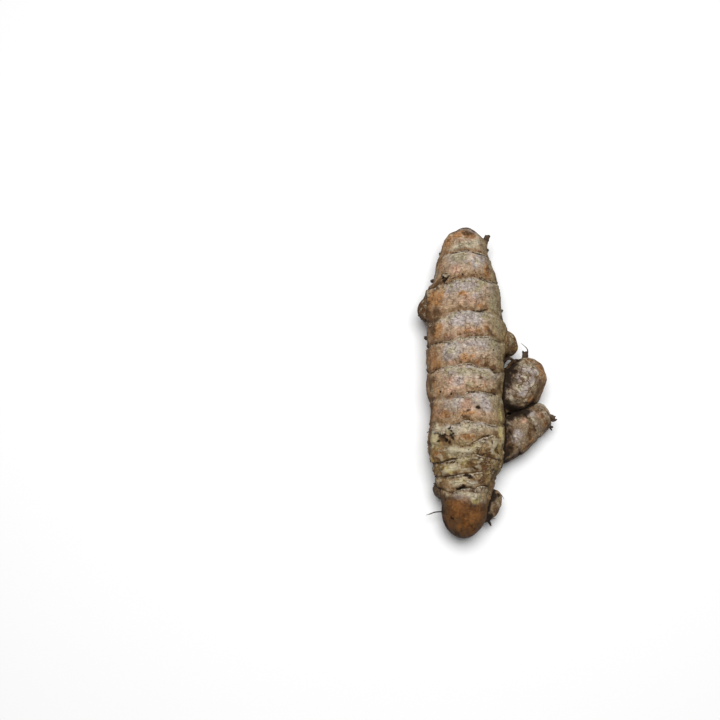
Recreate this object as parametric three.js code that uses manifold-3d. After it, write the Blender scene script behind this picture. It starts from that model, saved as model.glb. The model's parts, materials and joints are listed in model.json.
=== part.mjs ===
// A turmeric root, built as the one solid that it grew as: a ringed spindle with two side fingers,
// three buds and the stubs of broken roots. It lies on its side on a small flat of its belly.
// Millimetres, +Z up. The root runs along Y, from its far end at +Y to its near end at -Y,
// and the fingers grow from its right side, towards +X.

import * as THREE from "three";
import { mergeVertices } from "three/addons/utils/BufferGeometryUtils.js";
import Module from "manifold-3d";

const wasm = await Module();
wasm.setup();

// Skin relief that every stem shares.
const RING_SWELL = 0.34; // how far the skin swells between two rings
const FULL_SWELL_GAP = 9; // rings closer than this have less swelling between them
const RING_GROOVE = 0.42; // depth of the crease at a ring
const GROOVE_WIDTH = 0.7; // distance from a ring at which its crease has mostly gone
const RING_LIP = 0.34; // height of the leaf scar's rim, just past the crease
const LIP_AT = 1.2; // distance from the ring to the middle of that rim
const RING_WANDER = 0.9; // how far a ring strays from a true circle
const LUMP = 0.3; // height of the slow swellings of the skin

// The body lies along Y with its axis near x = 0, and the belly is cut level at this height,
// so that the root lies still.
const FLOOR = 0.5;
const FLOOR_BLOCK = 200;

// The part's origin is the middle of the bounding box, at the bottom.
const ORIGIN = new THREE.Vector3(7.08, 0, FLOOR);

// Every stem is a curved spine with rings along it. Rings and widths are measured from its start:
// rings are distances, and each width is a distance and the half width there.
const BODY = {
  spine: [[1.6, 53.1, 9.4], [-1.8, 22, 12.9], [2.4, -22, 12.6], [-2.2, -53.1, 9.0]],
  rings: [10.4, 21.5, 33.5, 42.5, 52.3, 61.8, 70.3, 77.8, 83.6, 87.4, 91.9],
  widths: [
    [0, 3.8], [4, 6.2], [8.6, 7.7], [14, 9.5], [19, 10.5], [30, 12.0], [43, 12.8],
    [50, 12.7], [62, 12.1], [73, 12.4], [79, 11.8], [84, 10.5], [91, 8.9], [96, 7.8], [107, 6.4],
  ],
  startDome: 6,
  endDome: 9,
  flatness: 0.92,
  relief: 1,
  sides: 40,
  phase: 0,
  // Knuckles of the skin: distance along, angle round from the right side, height and reach.
  knuckles: [
    { along: 80, angle: 2.7, height: 0.9, reach: 4 },
    { along: 75, angle: 0.3, height: 0.7, reach: 3.5 },
    { along: 77, angle: 1.5, height: 0.5, reach: 2.5 },
    { along: 89.5, angle: 1.3, height: 0.5, reach: 2.5 },
    { along: 22.5, angle: 2.6, height: 0.5, reach: 3 },
    { along: 60, angle: -0.9, height: 0.8, reach: 4 },
    { along: 46, angle: -2.3, height: 0.7, reach: 4 },
  ],
};

const BALL_FINGER = {
  spine: [[3, -6, 9.4], [14, -6.6, 8.4], [20.6, -3.8, 8.4], [20.0, 7.3, 9.0]],
  rings: [9.5, 19],
  widths: [[0, 4.2], [6, 4.6], [10, 6.6], [14.5, 8.2], [19, 8.3], [24, 7.8]],
  startDome: 4,
  endDome: 8.5,
  flatness: 0.99,
  relief: 0.45,
  sides: 24,
  phase: 2,
};

const TAPER_FINGER = {
  spine: [[1, -24.6, 9.6], [12, -22.2, 8.0], [18.6, -17.6, 7.2], [27.0, -10.6, 7.4]],
  rings: [14, 22, 27.5],
  widths: [[0, 5.5], [8, 6.5], [13, 6.8], [19.5, 6.1], [25, 5.4], [31, 4.7]],
  startDome: 4,
  endDome: 3,
  flatness: 1,
  relief: 0.5,
  sides: 22,
  phase: 4,
};

const LEFT_BUD = {
  spine: [[-6, 26.5, 11], [-9, 25.8, 11.2], [-12.4, 25, 11.4], [-15.2, 23.2, 11.4]],
  rings: [6.6],
  widths: [[0, 5.4], [5, 4.8], [8, 3.6], [10, 2.6]],
  startDome: 3,
  endDome: 2.4,
  flatness: 0.95,
  relief: 0.3,
  sides: 14,
  phase: 1,
};

const RIGHT_BUD = {
  spine: [[6, 10.5, 10], [10, 10.8, 10.2], [14, 11.2, 10.4], [17.9, 11.2, 10.6]],
  rings: [8.6],
  widths: [[0, 5.4], [6, 4.9], [9, 4.0], [12, 2.9]],
  startDome: 3,
  endDome: 2,
  flatness: 0.95,
  relief: 0.3,
  sides: 14,
  phase: 3,
};

const NEAR_BUD = {
  spine: [[2, -45.2, 8], [5.2, -44.6, 8.1], [8.4, -42.4, 8.4], [9.0, -37.2, 8.8]],
  rings: [6.5],
  widths: [[0, 3.6], [5, 3.7], [8, 3.0], [12, 2.0]],
  startDome: 3,
  endDome: 3,
  flatness: 0.95,
  relief: 0.3,
  sides: 12,
  phase: 5,
};

// Broken roots: where each stub leaves the skin, which way it points, its radius and its length.
const STUB_SUNK = 2.5; // how deep its foot goes below the skin
const STUB_SIDES = 8;
const STUBS = [
  { at: [7.4, 47.2, 10.4], towards: [0.42, 0.88, 0.2], radius: 1, length: 3 },
  { at: [11.2, 30, 10.5], towards: [1, 0, 0.1], radius: 0.6, length: 1 },
  { at: [-9.3, -36.9, 9], towards: [-1, 0.1, 0.05], radius: 2.4, length: 1.8 },
  { at: [20.2, 6.6, 9.4], towards: [-0.2, 0.95, 0.3], radius: 1.2, length: 2.4 },
  { at: [27.2, -12.4, 8.4], towards: [0.92, -0.38, 0.1], radius: 0.8, length: 2.6 },
  { at: [26.6, -14.8, 7.2], towards: [0.6, -0.8, 0], radius: 0.7, length: 2 },
];

// Small roots snapped off beside the rings, low on the body's sides, placed by a seeded rule.
const SMALL_STUBS_PER_RING = 2;
const SMALL_STUB_RADIUS = [0.5, 0.8];
const SMALL_STUB_LENGTH = [0.5, 1.3];
const LEAST_FROM_BELLY = 0.75; // radians round from straight down, where the root rests
const MOST_FROM_BELLY = 1.7;
const SEED = 7;

// A smooth line through [position, value] pairs, with each slope taken from its neighbours.
function smoothThrough(points, at) {
  const last = points.length - 1;
  let i = 0;
  while (i < last - 1 && at > points[i + 1][0]) i++;
  const slope = (k) => {
    const before = points[Math.max(k - 1, 0)];
    const after = points[Math.min(k + 1, last)];
    return (after[1] - before[1]) / (after[0] - before[0]);
  };
  const [x0, y0] = points[i];
  const [x1, y1] = points[i + 1];
  const run = x1 - x0;
  const t = Math.min(Math.max((at - x0) / run, 0), 1);
  const a = y0 * (2 * t ** 3 - 3 * t ** 2 + 1) + y1 * (3 * t ** 2 - 2 * t ** 3);
  return a + run * (slope(i) * (t ** 3 - 2 * t ** 2 + t) + slope(i + 1) * (t ** 3 - t ** 2));
}

// A quarter ellipse: 0 at the end of a stem, 1 from `dome` on.
function domed(distance, dome) {
  const t = Math.min(distance / dome, 1);
  return Math.sqrt(Math.max(1 - (1 - t) ** 2, 0));
}

// How far ring number i strays along the stem at an angle round it.
function ringWander(i, angle, phase) {
  const turn = 2.4 * (i + phase);
  return 0.6 * Math.cos(angle - turn) + 0.4 * Math.cos(2 * angle + 1.7 * turn);
}

// The height of the skin over the plain stem, at a distance from its start and an angle round it.
function relief(stem, along, gap, fromRing, share, angle) {
  const fullness = Math.min(gap / FULL_SWELL_GAP, 1);
  const swell = RING_SWELL * fullness * Math.sin(Math.PI * share);
  const groove = -RING_GROOVE * Math.exp(-((fromRing / GROOVE_WIDTH) ** 2));
  const lip = RING_LIP * Math.exp(-(((fromRing - LIP_AT) / (0.6 * GROOVE_WIDTH)) ** 2));
  const slow = Math.sin(0.23 * along + 2 * angle + 1.3 + stem.phase);
  const cross = Math.sin(0.41 * along - 3 * angle + 0.6 * stem.phase);
  return stem.relief * (swell + groove + lip + LUMP * (slow + 0.7 * cross));
}

// The height of a stem's knuckles at a distance along it and an angle round it.
function knuckleHeight(stem, along, angle, width) {
  let height = 0;
  for (const knuckle of stem.knuckles ?? []) {
    const turn = angle - knuckle.angle;
    const round = width * Math.atan2(Math.sin(turn), Math.cos(turn));
    const away = Math.hypot(along - knuckle.along, round) / knuckle.reach;
    height += knuckle.height * Math.exp(-2 * away ** 2);
  }
  return height;
}

// Random numbers from 0 to 1 that are the same in every run.
function seededRandom(seed) {
  let state = seed;
  return () => {
    state = (state * 16807) % 2147483647;
    return state / 2147483647;
  };
}

// Shares of the way from one ring to the next at which a stem has a row of points.
const ROW_SHARES = [0, 0.09, 0.19, 0.45, 0.75, 0.92];
// Rows on the rounded ends, as shares of the dome, where the outline turns fastest.
const DOME_SHARES = [0.03, 0.12, 0.3, 0.6];

function makeStem(stem) {
  const curve = new THREE.CubicBezierCurve3(...stem.spine.map((p) => new THREE.Vector3(...p)));
  const length = curve.getLength();
  const marks = [0, ...stem.rings, length];
  const rows = [];
  for (let i = 0; i < marks.length - 1; i++) {
    const gap = marks[i + 1] - marks[i];
    const shares = new Set(ROW_SHARES);
    if (i === 0) {
      for (const s of DOME_SHARES) shares.add((s * stem.startDome) / gap);
    }
    if (i === marks.length - 2) {
      for (const s of DOME_SHARES) shares.add(1 - (s * stem.endDome) / gap);
    }
    const kept = [...shares].filter((s) => s >= 0 && s < 1).sort((a, b) => a - b);
    kept.forEach((share) => rows.push({ interval: i, share, at: marks[i] + share * gap }));
  }
  rows.push({ interval: marks.length - 2, share: 1, at: length });

  // A lathe of unit radius whose height is the row number is then moved, point by point.
  const ends = [0, rows.length - 1];
  const outline = rows.map((_, j) => new THREE.Vector2(ends.includes(j) ? 0 : 1, j));
  const geometry = new THREE.LatheGeometry(outline.reverse(), stem.sides);
  const position = geometry.getAttribute("position");
  const up = new THREE.Vector3(0, 0, 1);
  for (let k = 0; k < position.count; k++) {
    const row = rows[Math.round(position.getY(k))];
    const isEnd = row.at === 0 || row.at === length;
    const angle = Math.atan2(position.getZ(k), position.getX(k));
    const before = row.interval === 0 ? 0 : ringWander(row.interval, angle, stem.phase);
    const isLast = row.interval === marks.length - 2;
    const after = isLast ? 0 : ringWander(row.interval + 1, angle, stem.phase);
    const stray = RING_WANDER * stem.relief * ((1 - row.share) * before + row.share * after);
    const along = THREE.MathUtils.clamp(row.at + stray, 0, length);
    const round = domed(row.at, stem.startDome) * domed(length - row.at, stem.endDome);
    const gap = marks[row.interval + 1] - marks[row.interval];
    const past = row.interval === 0 ? gap : row.share * gap;
    const ahead = isLast ? gap : (1 - row.share) * gap;
    const fromRing = past < ahead ? past : -ahead;
    const width = smoothThrough(stem.widths, row.at);
    const knuckles = knuckleHeight(stem, row.at, angle, width);
    const skin = relief(stem, row.at, gap, fromRing, row.share, angle) + knuckles;
    const radius = isEnd ? 0 : round * (width + skin);
    const share = isEnd ? row.at / length : along / length;
    const centre = curve.getPointAt(share);
    const tangent = curve.getTangentAt(share);
    const side = new THREE.Vector3().crossVectors(up, tangent).normalize();
    const over = new THREE.Vector3().crossVectors(tangent, side);
    centre.addScaledVector(side, radius * Math.cos(angle));
    centre.addScaledVector(over, radius * stem.flatness * Math.sin(angle));
    position.setXYZ(k, centre.x, centre.y, centre.z);
  }
  return solidFrom(geometry);
}

// A short blunt cone whose foot is sunk in the skin.
function makeStub({ at, towards, radius, length }) {
  const tall = length + STUB_SUNK;
  const geometry = new THREE.CylinderGeometry(0.7 * radius, radius, tall, STUB_SIDES);
  const direction = new THREE.Vector3(...towards).normalize();
  geometry.translate(0, tall / 2 - STUB_SUNK, 0);
  geometry.applyQuaternion(
    new THREE.Quaternion().setFromUnitVectors(new THREE.Vector3(0, 1, 0), direction),
  );
  geometry.translate(...at);
  return solidFrom(geometry);
}

// The small stubs of the body: beside each ring, out from the spine, on the lower half.
function smallStubs() {
  const random = seededRandom(SEED);
  const between = ([low, high]) => low + (high - low) * random();
  const curve = new THREE.CubicBezierCurve3(...BODY.spine.map((p) => new THREE.Vector3(...p)));
  const length = curve.getLength();
  const stubs = [];
  for (const ring of BODY.rings) {
    for (let k = 0; k < SMALL_STUBS_PER_RING; k++) {
      const along = ring - 0.5 - 3 * random();
      const turn = between([LEAST_FROM_BELLY, MOST_FROM_BELLY]) * (k % 2 ? 1 : -1);
      const out = new THREE.Vector3(Math.sin(turn), 0, -Math.cos(turn));
      const width = smoothThrough(BODY.widths, along);
      const centre = curve.getPointAt(along / length);
      const at = [
        centre.x + width * out.x,
        centre.y,
        centre.z + BODY.flatness * width * out.z,
      ];
      const radius = between(SMALL_STUB_RADIUS);
      stubs.push({ at, towards: out.toArray(), radius, length: between(SMALL_STUB_LENGTH) });
    }
  }
  return stubs;
}

function solidFrom(geometry) {
  const bare = new THREE.BufferGeometry();
  bare.setAttribute("position", geometry.getAttribute("position"));
  bare.setIndex(geometry.index);
  const merged = mergeVertices(bare, 1e-3);
  return new wasm.Manifold(
    new wasm.Mesh({
      numProp: 3,
      vertProperties: merged.getAttribute("position").array,
      triVerts: new Uint32Array(merged.index.array),
    }),
  );
}

function geometryFrom(solid) {
  const mesh = solid.getMesh();
  const geometry = new THREE.BufferGeometry();
  geometry.setAttribute("position", new THREE.BufferAttribute(mesh.vertProperties, 3));
  geometry.setIndex(new THREE.BufferAttribute(mesh.triVerts, 1));
  geometry.computeVertexNormals();
  return geometry;
}

function makeRhizome() {
  const stems = [BODY, BALL_FINGER, TAPER_FINGER, LEFT_BUD, RIGHT_BUD, NEAR_BUD].map(makeStem);
  const stubs = [...STUBS, ...smallStubs()].map(makeStub);
  const grown = [...stems, ...stubs].reduce((whole, piece) => whole.add(piece));
  const below = new THREE.BoxGeometry(FLOOR_BLOCK, FLOOR_BLOCK, FLOOR_BLOCK);
  below.translate(0, 0, FLOOR - FLOOR_BLOCK / 2);
  return geometryFrom(grown.subtract(solidFrom(below))).translate(-ORIGIN.x, -ORIGIN.y, -ORIGIN.z);
}

const skin = new THREE.MeshStandardMaterial({ color: 0xa88a66, roughness: 0.75, metalness: 0 });
const rhizome = new THREE.Mesh(makeRhizome(), skin);
rhizome.name = "rhizome";

const turmericRoot = new THREE.Group();
turmericRoot.name = "turmeric_root";
turmericRoot.add(rhizome);

export default turmericRoot;
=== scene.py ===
# %% [markdown]
# # A turmeric root, dressed for its portrait
# A turmeric root is a rhizome, an underground stem. It creeps, swells between its leaf scars and throws
# short fingers from its sides. The CAD part already has that form as one plain solid, so this lesson
# keeps its sizes and gives it a skin: rings, creases, wrinkles, scars, snapped roots and colour.
# The first step is to load the CAD part as a fixed frame, so that every piece goes where it says.

# %% Load the frame
import json
import math
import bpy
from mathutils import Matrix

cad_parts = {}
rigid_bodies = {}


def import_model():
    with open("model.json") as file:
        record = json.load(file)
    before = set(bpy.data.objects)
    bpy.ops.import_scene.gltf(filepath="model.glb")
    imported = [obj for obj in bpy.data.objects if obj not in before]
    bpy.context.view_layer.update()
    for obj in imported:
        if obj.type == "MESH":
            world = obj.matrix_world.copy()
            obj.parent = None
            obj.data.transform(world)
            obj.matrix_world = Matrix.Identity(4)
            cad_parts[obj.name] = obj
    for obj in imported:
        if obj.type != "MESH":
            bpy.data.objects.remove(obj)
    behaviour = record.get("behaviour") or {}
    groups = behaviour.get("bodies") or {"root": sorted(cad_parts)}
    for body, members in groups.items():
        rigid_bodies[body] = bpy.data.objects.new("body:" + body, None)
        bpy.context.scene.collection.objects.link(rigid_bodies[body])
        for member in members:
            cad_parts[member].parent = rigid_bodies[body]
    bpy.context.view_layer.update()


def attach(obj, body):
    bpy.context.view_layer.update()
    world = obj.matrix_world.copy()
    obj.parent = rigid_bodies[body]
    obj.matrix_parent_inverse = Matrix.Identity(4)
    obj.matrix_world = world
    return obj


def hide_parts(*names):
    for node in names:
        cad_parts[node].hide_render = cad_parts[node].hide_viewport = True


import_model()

from types import SimpleNamespace

import bpy
import numpy as np
from mathutils import Vector, noise
from mathutils.bvhtree import BVHTree

MM = 0.001  # lengths below are in millimetres, and Blender's are in metres

# %% [markdown]
# ## The stems
# The root is six stems grown together: the body, two fingers and three buds. Each one is a curved spine
# with a half width at some distances along it, and rings where its leaves once sat. They could be read
# back from the CAD mesh, but its facets are coarse. The same few driving sizes are written here again,
# so the fine skin grows from the real form and not from its facets.

# %% Sizes of the stems, in millimetres
ORIGIN = np.array([7.08, 0, 0.5])  # where the part's origin lies among the sizes below
STEMS = {
    "body": SimpleNamespace(
        spine=[[1.6, 53.1, 9.4], [-1.8, 22, 12.9], [2.4, -22, 12.6], [-2.2, -53.1, 9.0]],
        rings=[10.4, 21.5, 33.5, 42.5, 52.3, 61.8, 70.3, 77.8, 83.6, 87.4, 91.9],
        widths=[[0, 3.8], [4, 6.2], [8.6, 7.7], [14, 9.5], [19, 10.5], [30, 12.0], [43, 12.8],
                [50, 12.7], [62, 12.1], [73, 12.4], [79, 11.8], [84, 10.5], [91, 8.9], [96, 7.8],
                [107, 6.4]],
        domes=(6, 9), flatness=0.92, relief=1, phase=0,
    ),
    "ball_finger": SimpleNamespace(
        spine=[[3, -6, 9.4], [14, -6.6, 8.4], [20.6, -3.8, 8.4], [20.0, 7.3, 9.0]],
        rings=[9.5, 19],
        widths=[[0, 4.2], [6, 4.6], [10, 6.6], [14.5, 8.2], [19, 8.3], [24, 7.8]],
        domes=(4, 8.5), flatness=0.99, relief=0.45, phase=2,
    ),
    "taper_finger": SimpleNamespace(
        spine=[[1, -24.6, 9.6], [12, -22.2, 8.0], [18.6, -17.6, 7.2], [27.0, -10.6, 7.4]],
        rings=[14, 22, 27.5],
        widths=[[0, 5.5], [8, 6.5], [13, 6.8], [19.5, 6.1], [25, 5.4], [31, 4.7]],
        domes=(4, 3), flatness=1, relief=0.5, phase=4,
    ),
    "left_bud": SimpleNamespace(
        spine=[[-6, 26.2, 11], [-9, 24.8, 11.2], [-12.4, 23.4, 11.4], [-15.2, 21.6, 11.4]],
        rings=[6.6], widths=[[0, 4.7], [5, 3.8], [8, 3.1], [10, 2.4]],
        domes=(3, 2.4), flatness=0.95, relief=0.3, phase=1,
    ),
    "right_bud": SimpleNamespace(
        spine=[[6, 10.5, 10], [10, 10.8, 10.2], [14, 11.2, 10.4], [17.9, 11.2, 10.6]],
        rings=[8.6], widths=[[0, 5.4], [6, 4.9], [9, 4.0], [12, 2.9]],
        domes=(3, 2), flatness=0.95, relief=0.3, phase=3,
    ),
    "near_bud": SimpleNamespace(
        spine=[[2, -45.2, 8], [5.2, -44.6, 8.1], [8.4, -42.4, 8.4], [9.0, -37.2, 8.8]],
        rings=[6.5], widths=[[0, 3.6], [5, 3.7], [8, 3.0], [12, 2.0]],
        domes=(3, 3), flatness=0.95, relief=0.3, phase=5,
    ),
}
# How plainly each stem shows its rings, and how much soil and painted shade darken the crease at its foot.
RINGS_SHOW = {"body": 1, "ball_finger": 0.3, "taper_finger": 0.9, "left_bud": 0.9, "right_bud": 0.5,
              "near_bud": 0.8}
SOIL_AND_SHADE_AT_FOOT = {"body": 0, "ball_finger": 1, "taper_finger": 1, "left_bud": 0.25, "right_bud": 0.1,
                "near_bud": 0.8}
# How far the flesh fills the crease at each stem's foot, in millimetres.
FILL_AT_FOOT = {"body": 0, "ball_finger": 0.2, "taper_finger": 0.4, "left_bud": 1.4, "right_bud": 1.5,
                "near_bud": 0.3}
# Knuckles of the body: distance along, angle round from the right side, height and reach.
KNUCKLES = [(80, 2.7, 0.9, 4), (75, 0.3, 0.7, 3.5), (77, 1.5, 0.5, 2.5), (89.5, 1.3, 0.5, 2.5),
            (22.5, 2.6, 0.5, 3), (60, -0.9, 0.8, 4), (46, -2.3, 0.7, 4), (65.4, -0.25, 1.9, 2.8)]
print("stems:", ", ".join(STEMS))

# %% [markdown]
# ## A ruler along each stem
# Everything on the skin is placed by two numbers: the distance along a stem, and the angle round it,
# where 0 is its side and 90 degrees its top. Sampling each spine finely turns those numbers into points
# in space, and a search for the nearest sample turns points back into those numbers.

# %% Spines, widths and domes
SPINE_SAMPLES = 400


def sample_spine(stem):
    a, b, c, d = (np.array(p, float) for p in stem.spine)
    t = np.linspace(0, 1, SPINE_SAMPLES)[:, None]
    stem.points = (1 - t) ** 3 * a + 3 * (1 - t) ** 2 * t * b + 3 * (1 - t) * t ** 2 * c + t ** 3 * d
    slope = 3 * (1 - t) ** 2 * (b - a) + 6 * (1 - t) * t * (c - b) + 3 * t ** 2 * (d - c)
    stem.tangents = slope / np.linalg.norm(slope, axis=1)[:, None]
    steps = np.linalg.norm(np.diff(stem.points, axis=0), axis=1)
    stem.along = np.concatenate([[0], np.cumsum(steps)])
    stem.length = stem.along[-1]
    sides = np.cross([0, 0, 1], stem.tangents)
    stem.sides = sides / np.linalg.norm(sides, axis=1)[:, None]
    stem.overs = np.cross(stem.tangents, stem.sides)


def between_samples(stem, values, along):
    return np.stack([np.interp(along, stem.along, values[:, k]) for k in range(3)], axis=-1)


def smooth_through(pairs, at):
    """A smooth line through (place, value) pairs, with each slope taken from its neighbours."""
    x, y = np.array(pairs, float).T
    slopes = np.gradient(y, x)
    slopes[1:-1] = (y[2:] - y[:-2]) / (x[2:] - x[:-2])
    i = np.clip(np.searchsorted(x, at) - 1, 0, len(x) - 2)
    run = x[i + 1] - x[i]
    t = np.clip((at - x[i]) / run, 0, 1)
    flat = y[i] * (2 * t ** 3 - 3 * t ** 2 + 1) + y[i + 1] * (3 * t ** 2 - 2 * t ** 3)
    return flat + run * (slopes[i] * (t ** 3 - 2 * t ** 2 + t) + slopes[i + 1] * (t ** 3 - t ** 2))


def domed(distance, dome):
    t = np.clip(distance / dome, 0, 1)
    return np.sqrt(1 - (1 - t) ** 2)


def both_domes(stem, along):
    """How far the rounded tips have opened: 0 at a stem's very ends, and 1 from dome to dome."""
    start, end = stem.domes
    return domed(along, start) * domed(stem.length - along, end)


def plain_radius(stem, along):
    return both_domes(stem, along) * smooth_through(stem.widths, along)


for name, stem in STEMS.items():
    sample_spine(stem)
    print(f"{name}: {stem.length:.1f} mm along its spine")

# %% [markdown]
# ## One closed skin
# Real fingers flow out of the body with a soft crease. Separate tubes would cut into each other with
# hard seams, and a Boolean union keeps those seams. A voxel remesh pours all the tubes into one even
# mesh instead, like wax over sticks. Its even grid of quads is also ideal for moving every point by a
# formula afterwards, which is how the rings are made.

# %% Plain tubes, then one even skin
ROW_STEP = 0.7
COLUMNS = 84
DOME_ROWS = 10
VOXEL = 0.36
RING_SWELL = 0.34
FULL_SWELL_GAP = 9  # rings that stand closer than this swell less between them
LUMP = 0.3
KNUCKLE_FALL = 2  # how steeply a knuckle falls off at its reach


def knuckle_height(along, turn, width):
    height = 0
    for at, angle, tall, reach in KNUCKLES:
        swing = turn - angle
        round_way = width * np.arctan2(np.sin(swing), np.cos(swing))
        away = np.hypot(along - at, round_way) / reach
        height = height + tall * np.exp(-KNUCKLE_FALL * away ** 2)
    return height


def swelling(stem, along, turn):
    """The slow ups and downs of a stem: a swell between each two rings, and lumps all over."""
    marks = np.array([0, *stem.rings, stem.length])
    i = np.clip(np.searchsorted(marks, along) - 1, 0, len(marks) - 2)
    gap = marks[i + 1] - marks[i]
    share = (along - marks[i]) / gap
    swell = RING_SWELL * np.minimum(gap / FULL_SWELL_GAP, 1) * np.sin(math.pi * share)
    # Two slow waves wind round the stem in opposite ways, out of step from one stem to the next.
    slow = np.sin(0.23 * along + 2 * turn + 1.3 + stem.phase)
    cross = np.sin(0.41 * along - 3 * turn + 0.6 * stem.phase)
    height = stem.relief * (swell + LUMP * (slow + 0.7 * cross))
    if stem is STEMS["body"]:
        height = height + knuckle_height(along, turn, smooth_through(stem.widths, along))
    return height


def tube(stem):
    """Points and faces of one closed tube, from its first tip to its last."""
    start, end = stem.domes
    rise = 1 - np.cos(np.linspace(0, math.pi / 2, DOME_ROWS + 1))
    middle = np.arange(start, stem.length - end, ROW_STEP)
    rows = np.unique(np.concatenate([start * rise, middle, stem.length - end * rise]).round(4))[1:-1]
    turn = np.arange(COLUMNS) * 2 * math.pi / COLUMNS
    along, turn = np.meshgrid(rows, turn, indexing="ij")
    radius = plain_radius(stem, along) + both_domes(stem, along) * swelling(stem, along, turn)
    side = between_samples(stem, stem.sides, along) * (radius * np.cos(turn))[..., None]
    over = between_samples(stem, stem.overs, along) * (stem.flatness * radius * np.sin(turn))[..., None]
    grid = between_samples(stem, stem.points, along) + side + over
    points = [stem.points[0], *grid.reshape(-1, 3), stem.points[-1]]
    faces = []
    for c in range(COLUMNS):
        d = (c + 1) % COLUMNS
        faces.append((0, 1 + d, 1 + c))
        for r in range(len(rows) - 1):
            low, high = 1 + r * COLUMNS, 1 + (r + 1) * COLUMNS
            faces.append((low + c, low + d, high + d, high + c))
        last = 1 + (len(rows) - 1) * COLUMNS
        faces.append((last + c, last + d, len(points) - 1))
    return points, faces


def new_piece(name, points, faces):
    """A mesh object from points in millimetres of the root's own sizes."""
    mesh = bpy.data.meshes.new(name)
    mesh.from_pydata(((np.array(points) - ORIGIN) * MM).tolist(), [], faces)
    mesh.polygons.foreach_set("use_smooth", [True] * len(mesh.polygons))
    mesh.update()
    piece = bpy.data.objects.new(name, mesh)
    bpy.context.scene.collection.objects.link(piece)
    return piece


def even_skin(name):
    """All the tubes as one closed mesh of even quads."""
    points, faces = [], []
    for stem in STEMS.values():
        more_points, more_faces = tube(stem)
        faces += [tuple(len(points) + k for k in face) for face in more_faces]
        points += more_points
    piece = new_piece(name, points, faces)
    remesh = piece.modifiers.new("one skin", "REMESH")
    remesh.mode = "VOXEL"
    remesh.voxel_size = VOXEL * MM
    remesh.use_smooth_shade = True
    rough = piece.data
    view = bpy.context.evaluated_depsgraph_get()
    piece.data = bpy.data.meshes.new_from_object(piece.evaluated_get(view))
    piece.modifiers.clear()
    bpy.data.meshes.remove(rough)
    piece.data.name = name
    return piece


root_skin = even_skin("turmeric_root")
print("even skin:", len(root_skin.data.polygons), "faces")

# %% [markdown]
# ## Where each point of the skin is
# Each point is measured against every stem: how far along, at which angle and how high over its plain
# surface. The stem whose surface is nearest owns the point. Where two stems are equally near there is a
# crease between them, and that gives a mask for the dirt and the painted shade that darken it.

# %% Measure every point against every stem
BLEND = 0.9  # how far from the line between two stems their reliefs mix, in millimetres
CREASE_REACH = 1.1
FILL_REACH = 2.4
BATCHES = 40  # the search for the nearest sample runs in parts, to keep its tables small


def points_of(mesh):
    flat = np.empty(len(mesh.vertices) * 3)
    mesh.vertices.foreach_get("co", flat)
    return flat.reshape(-1, 3) / MM + ORIGIN


def normals_of(mesh):
    flat = np.empty(len(mesh.vertices) * 3)
    mesh.vertex_normals.foreach_get("vector", flat)
    return flat.reshape(-1, 3)


def measure_on(stem, points):
    """Distance along the stem, angle round it, the offsets from its spine and the height over it."""
    nearest = np.concatenate([
        np.argmin(((part[:, None] - stem.points[None]) ** 2).sum(-1), axis=1)
        for part in np.array_split(points, BATCHES)
    ])
    offset = points - stem.points[nearest]
    along = stem.along[nearest] + (offset * stem.tangents[nearest]).sum(-1)
    across = (offset * stem.sides[nearest]).sum(-1)
    over = (offset * stem.overs[nearest]).sum(-1) / stem.flatness
    out = np.hypot(across, over)
    inside = np.clip(along, 0, stem.length)
    beyond = np.abs(along - inside)
    height = np.hypot(out, beyond) - plain_radius(stem, inside)
    return inside, np.arctan2(over, across), across, over, height


def hill(distance, width):
    """1 where a distance is 0, and fading to 0 over a width."""
    return np.exp(-((distance / width) ** 2))


plain = points_of(root_skin.data)
measured = {name: measure_on(stem, plain) for name, stem in STEMS.items()}
heights = np.stack([measured[name][4] for name in STEMS])
shares = np.exp(-np.clip(heights, 0, None) / BLEND)
shares /= shares.sum(0)
share_of = dict(zip(STEMS, shares))
owner = np.argmin(heights, axis=0)
owned_by = np.array(list(STEMS))[owner]
on_body = owned_by == "body"
print("points of each stem:", {name: int((owned_by == name).sum()) for name in STEMS})

# %% Creases at the feet of the stems
two_nearest = np.argsort(heights, axis=0)[:2]
lowest, next_lowest = np.take_along_axis(heights, two_nearest, 0)


def at_feet(amount_of, reach):
    """A stem's amount of something at its foot, fading with the distance from the joint."""
    amount = np.array([amount_of[name] for name in STEMS])[two_nearest].max(0)
    return amount * hill(next_lowest - lowest, reach)


crease = at_feet(SOIL_AND_SHADE_AT_FOOT, CREASE_REACH)
filled = at_feet(FILL_AT_FOOT, FILL_REACH)
print("points in a crease:", int((crease > 0.5).sum()))

# %% [markdown]
# ## Rings
# A leaf once wrapped the stem at each ring, and its dry foot left a crease with a thin raised rim. No
# ring is a true circle: each strays a little along the stem as it goes round. A texture could draw the
# rings, but their rims catch the light and show in the outline, so they are moved into the mesh.

# %% Sizes and courses of the rings
RING_WANDER = 0.9
CREASE_DEPTH = 0.4
CREASE_WIDTH = 0.42
LIP_HEIGHT = 0.17
LIP_AT = 1.0
LIP_WIDTH = 0.5
BROW_HEIGHT = 0.15
BROW_AT = -0.6
RIPPLE_HEIGHT = 0.13
RIPPLE_LENGTH = 0.9
RIPPLES_AT = 0.6
RIPPLES_REACH = 1.6
RIPPLED_RINGS = {3: 1.0, 6: 1.0, 1: 0.4, 9: 0.6}  # ring number: how strongly fine ridges follow it
RIPPLED_ELSEWHERE = 0.15
TRACED_WOBBLE = 0.25  # how much of the fine wobble stays where a ring's course is known
HIDDEN_BLEND = 40  # degrees over which a line goes back to its plain course on the hidden side
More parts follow.
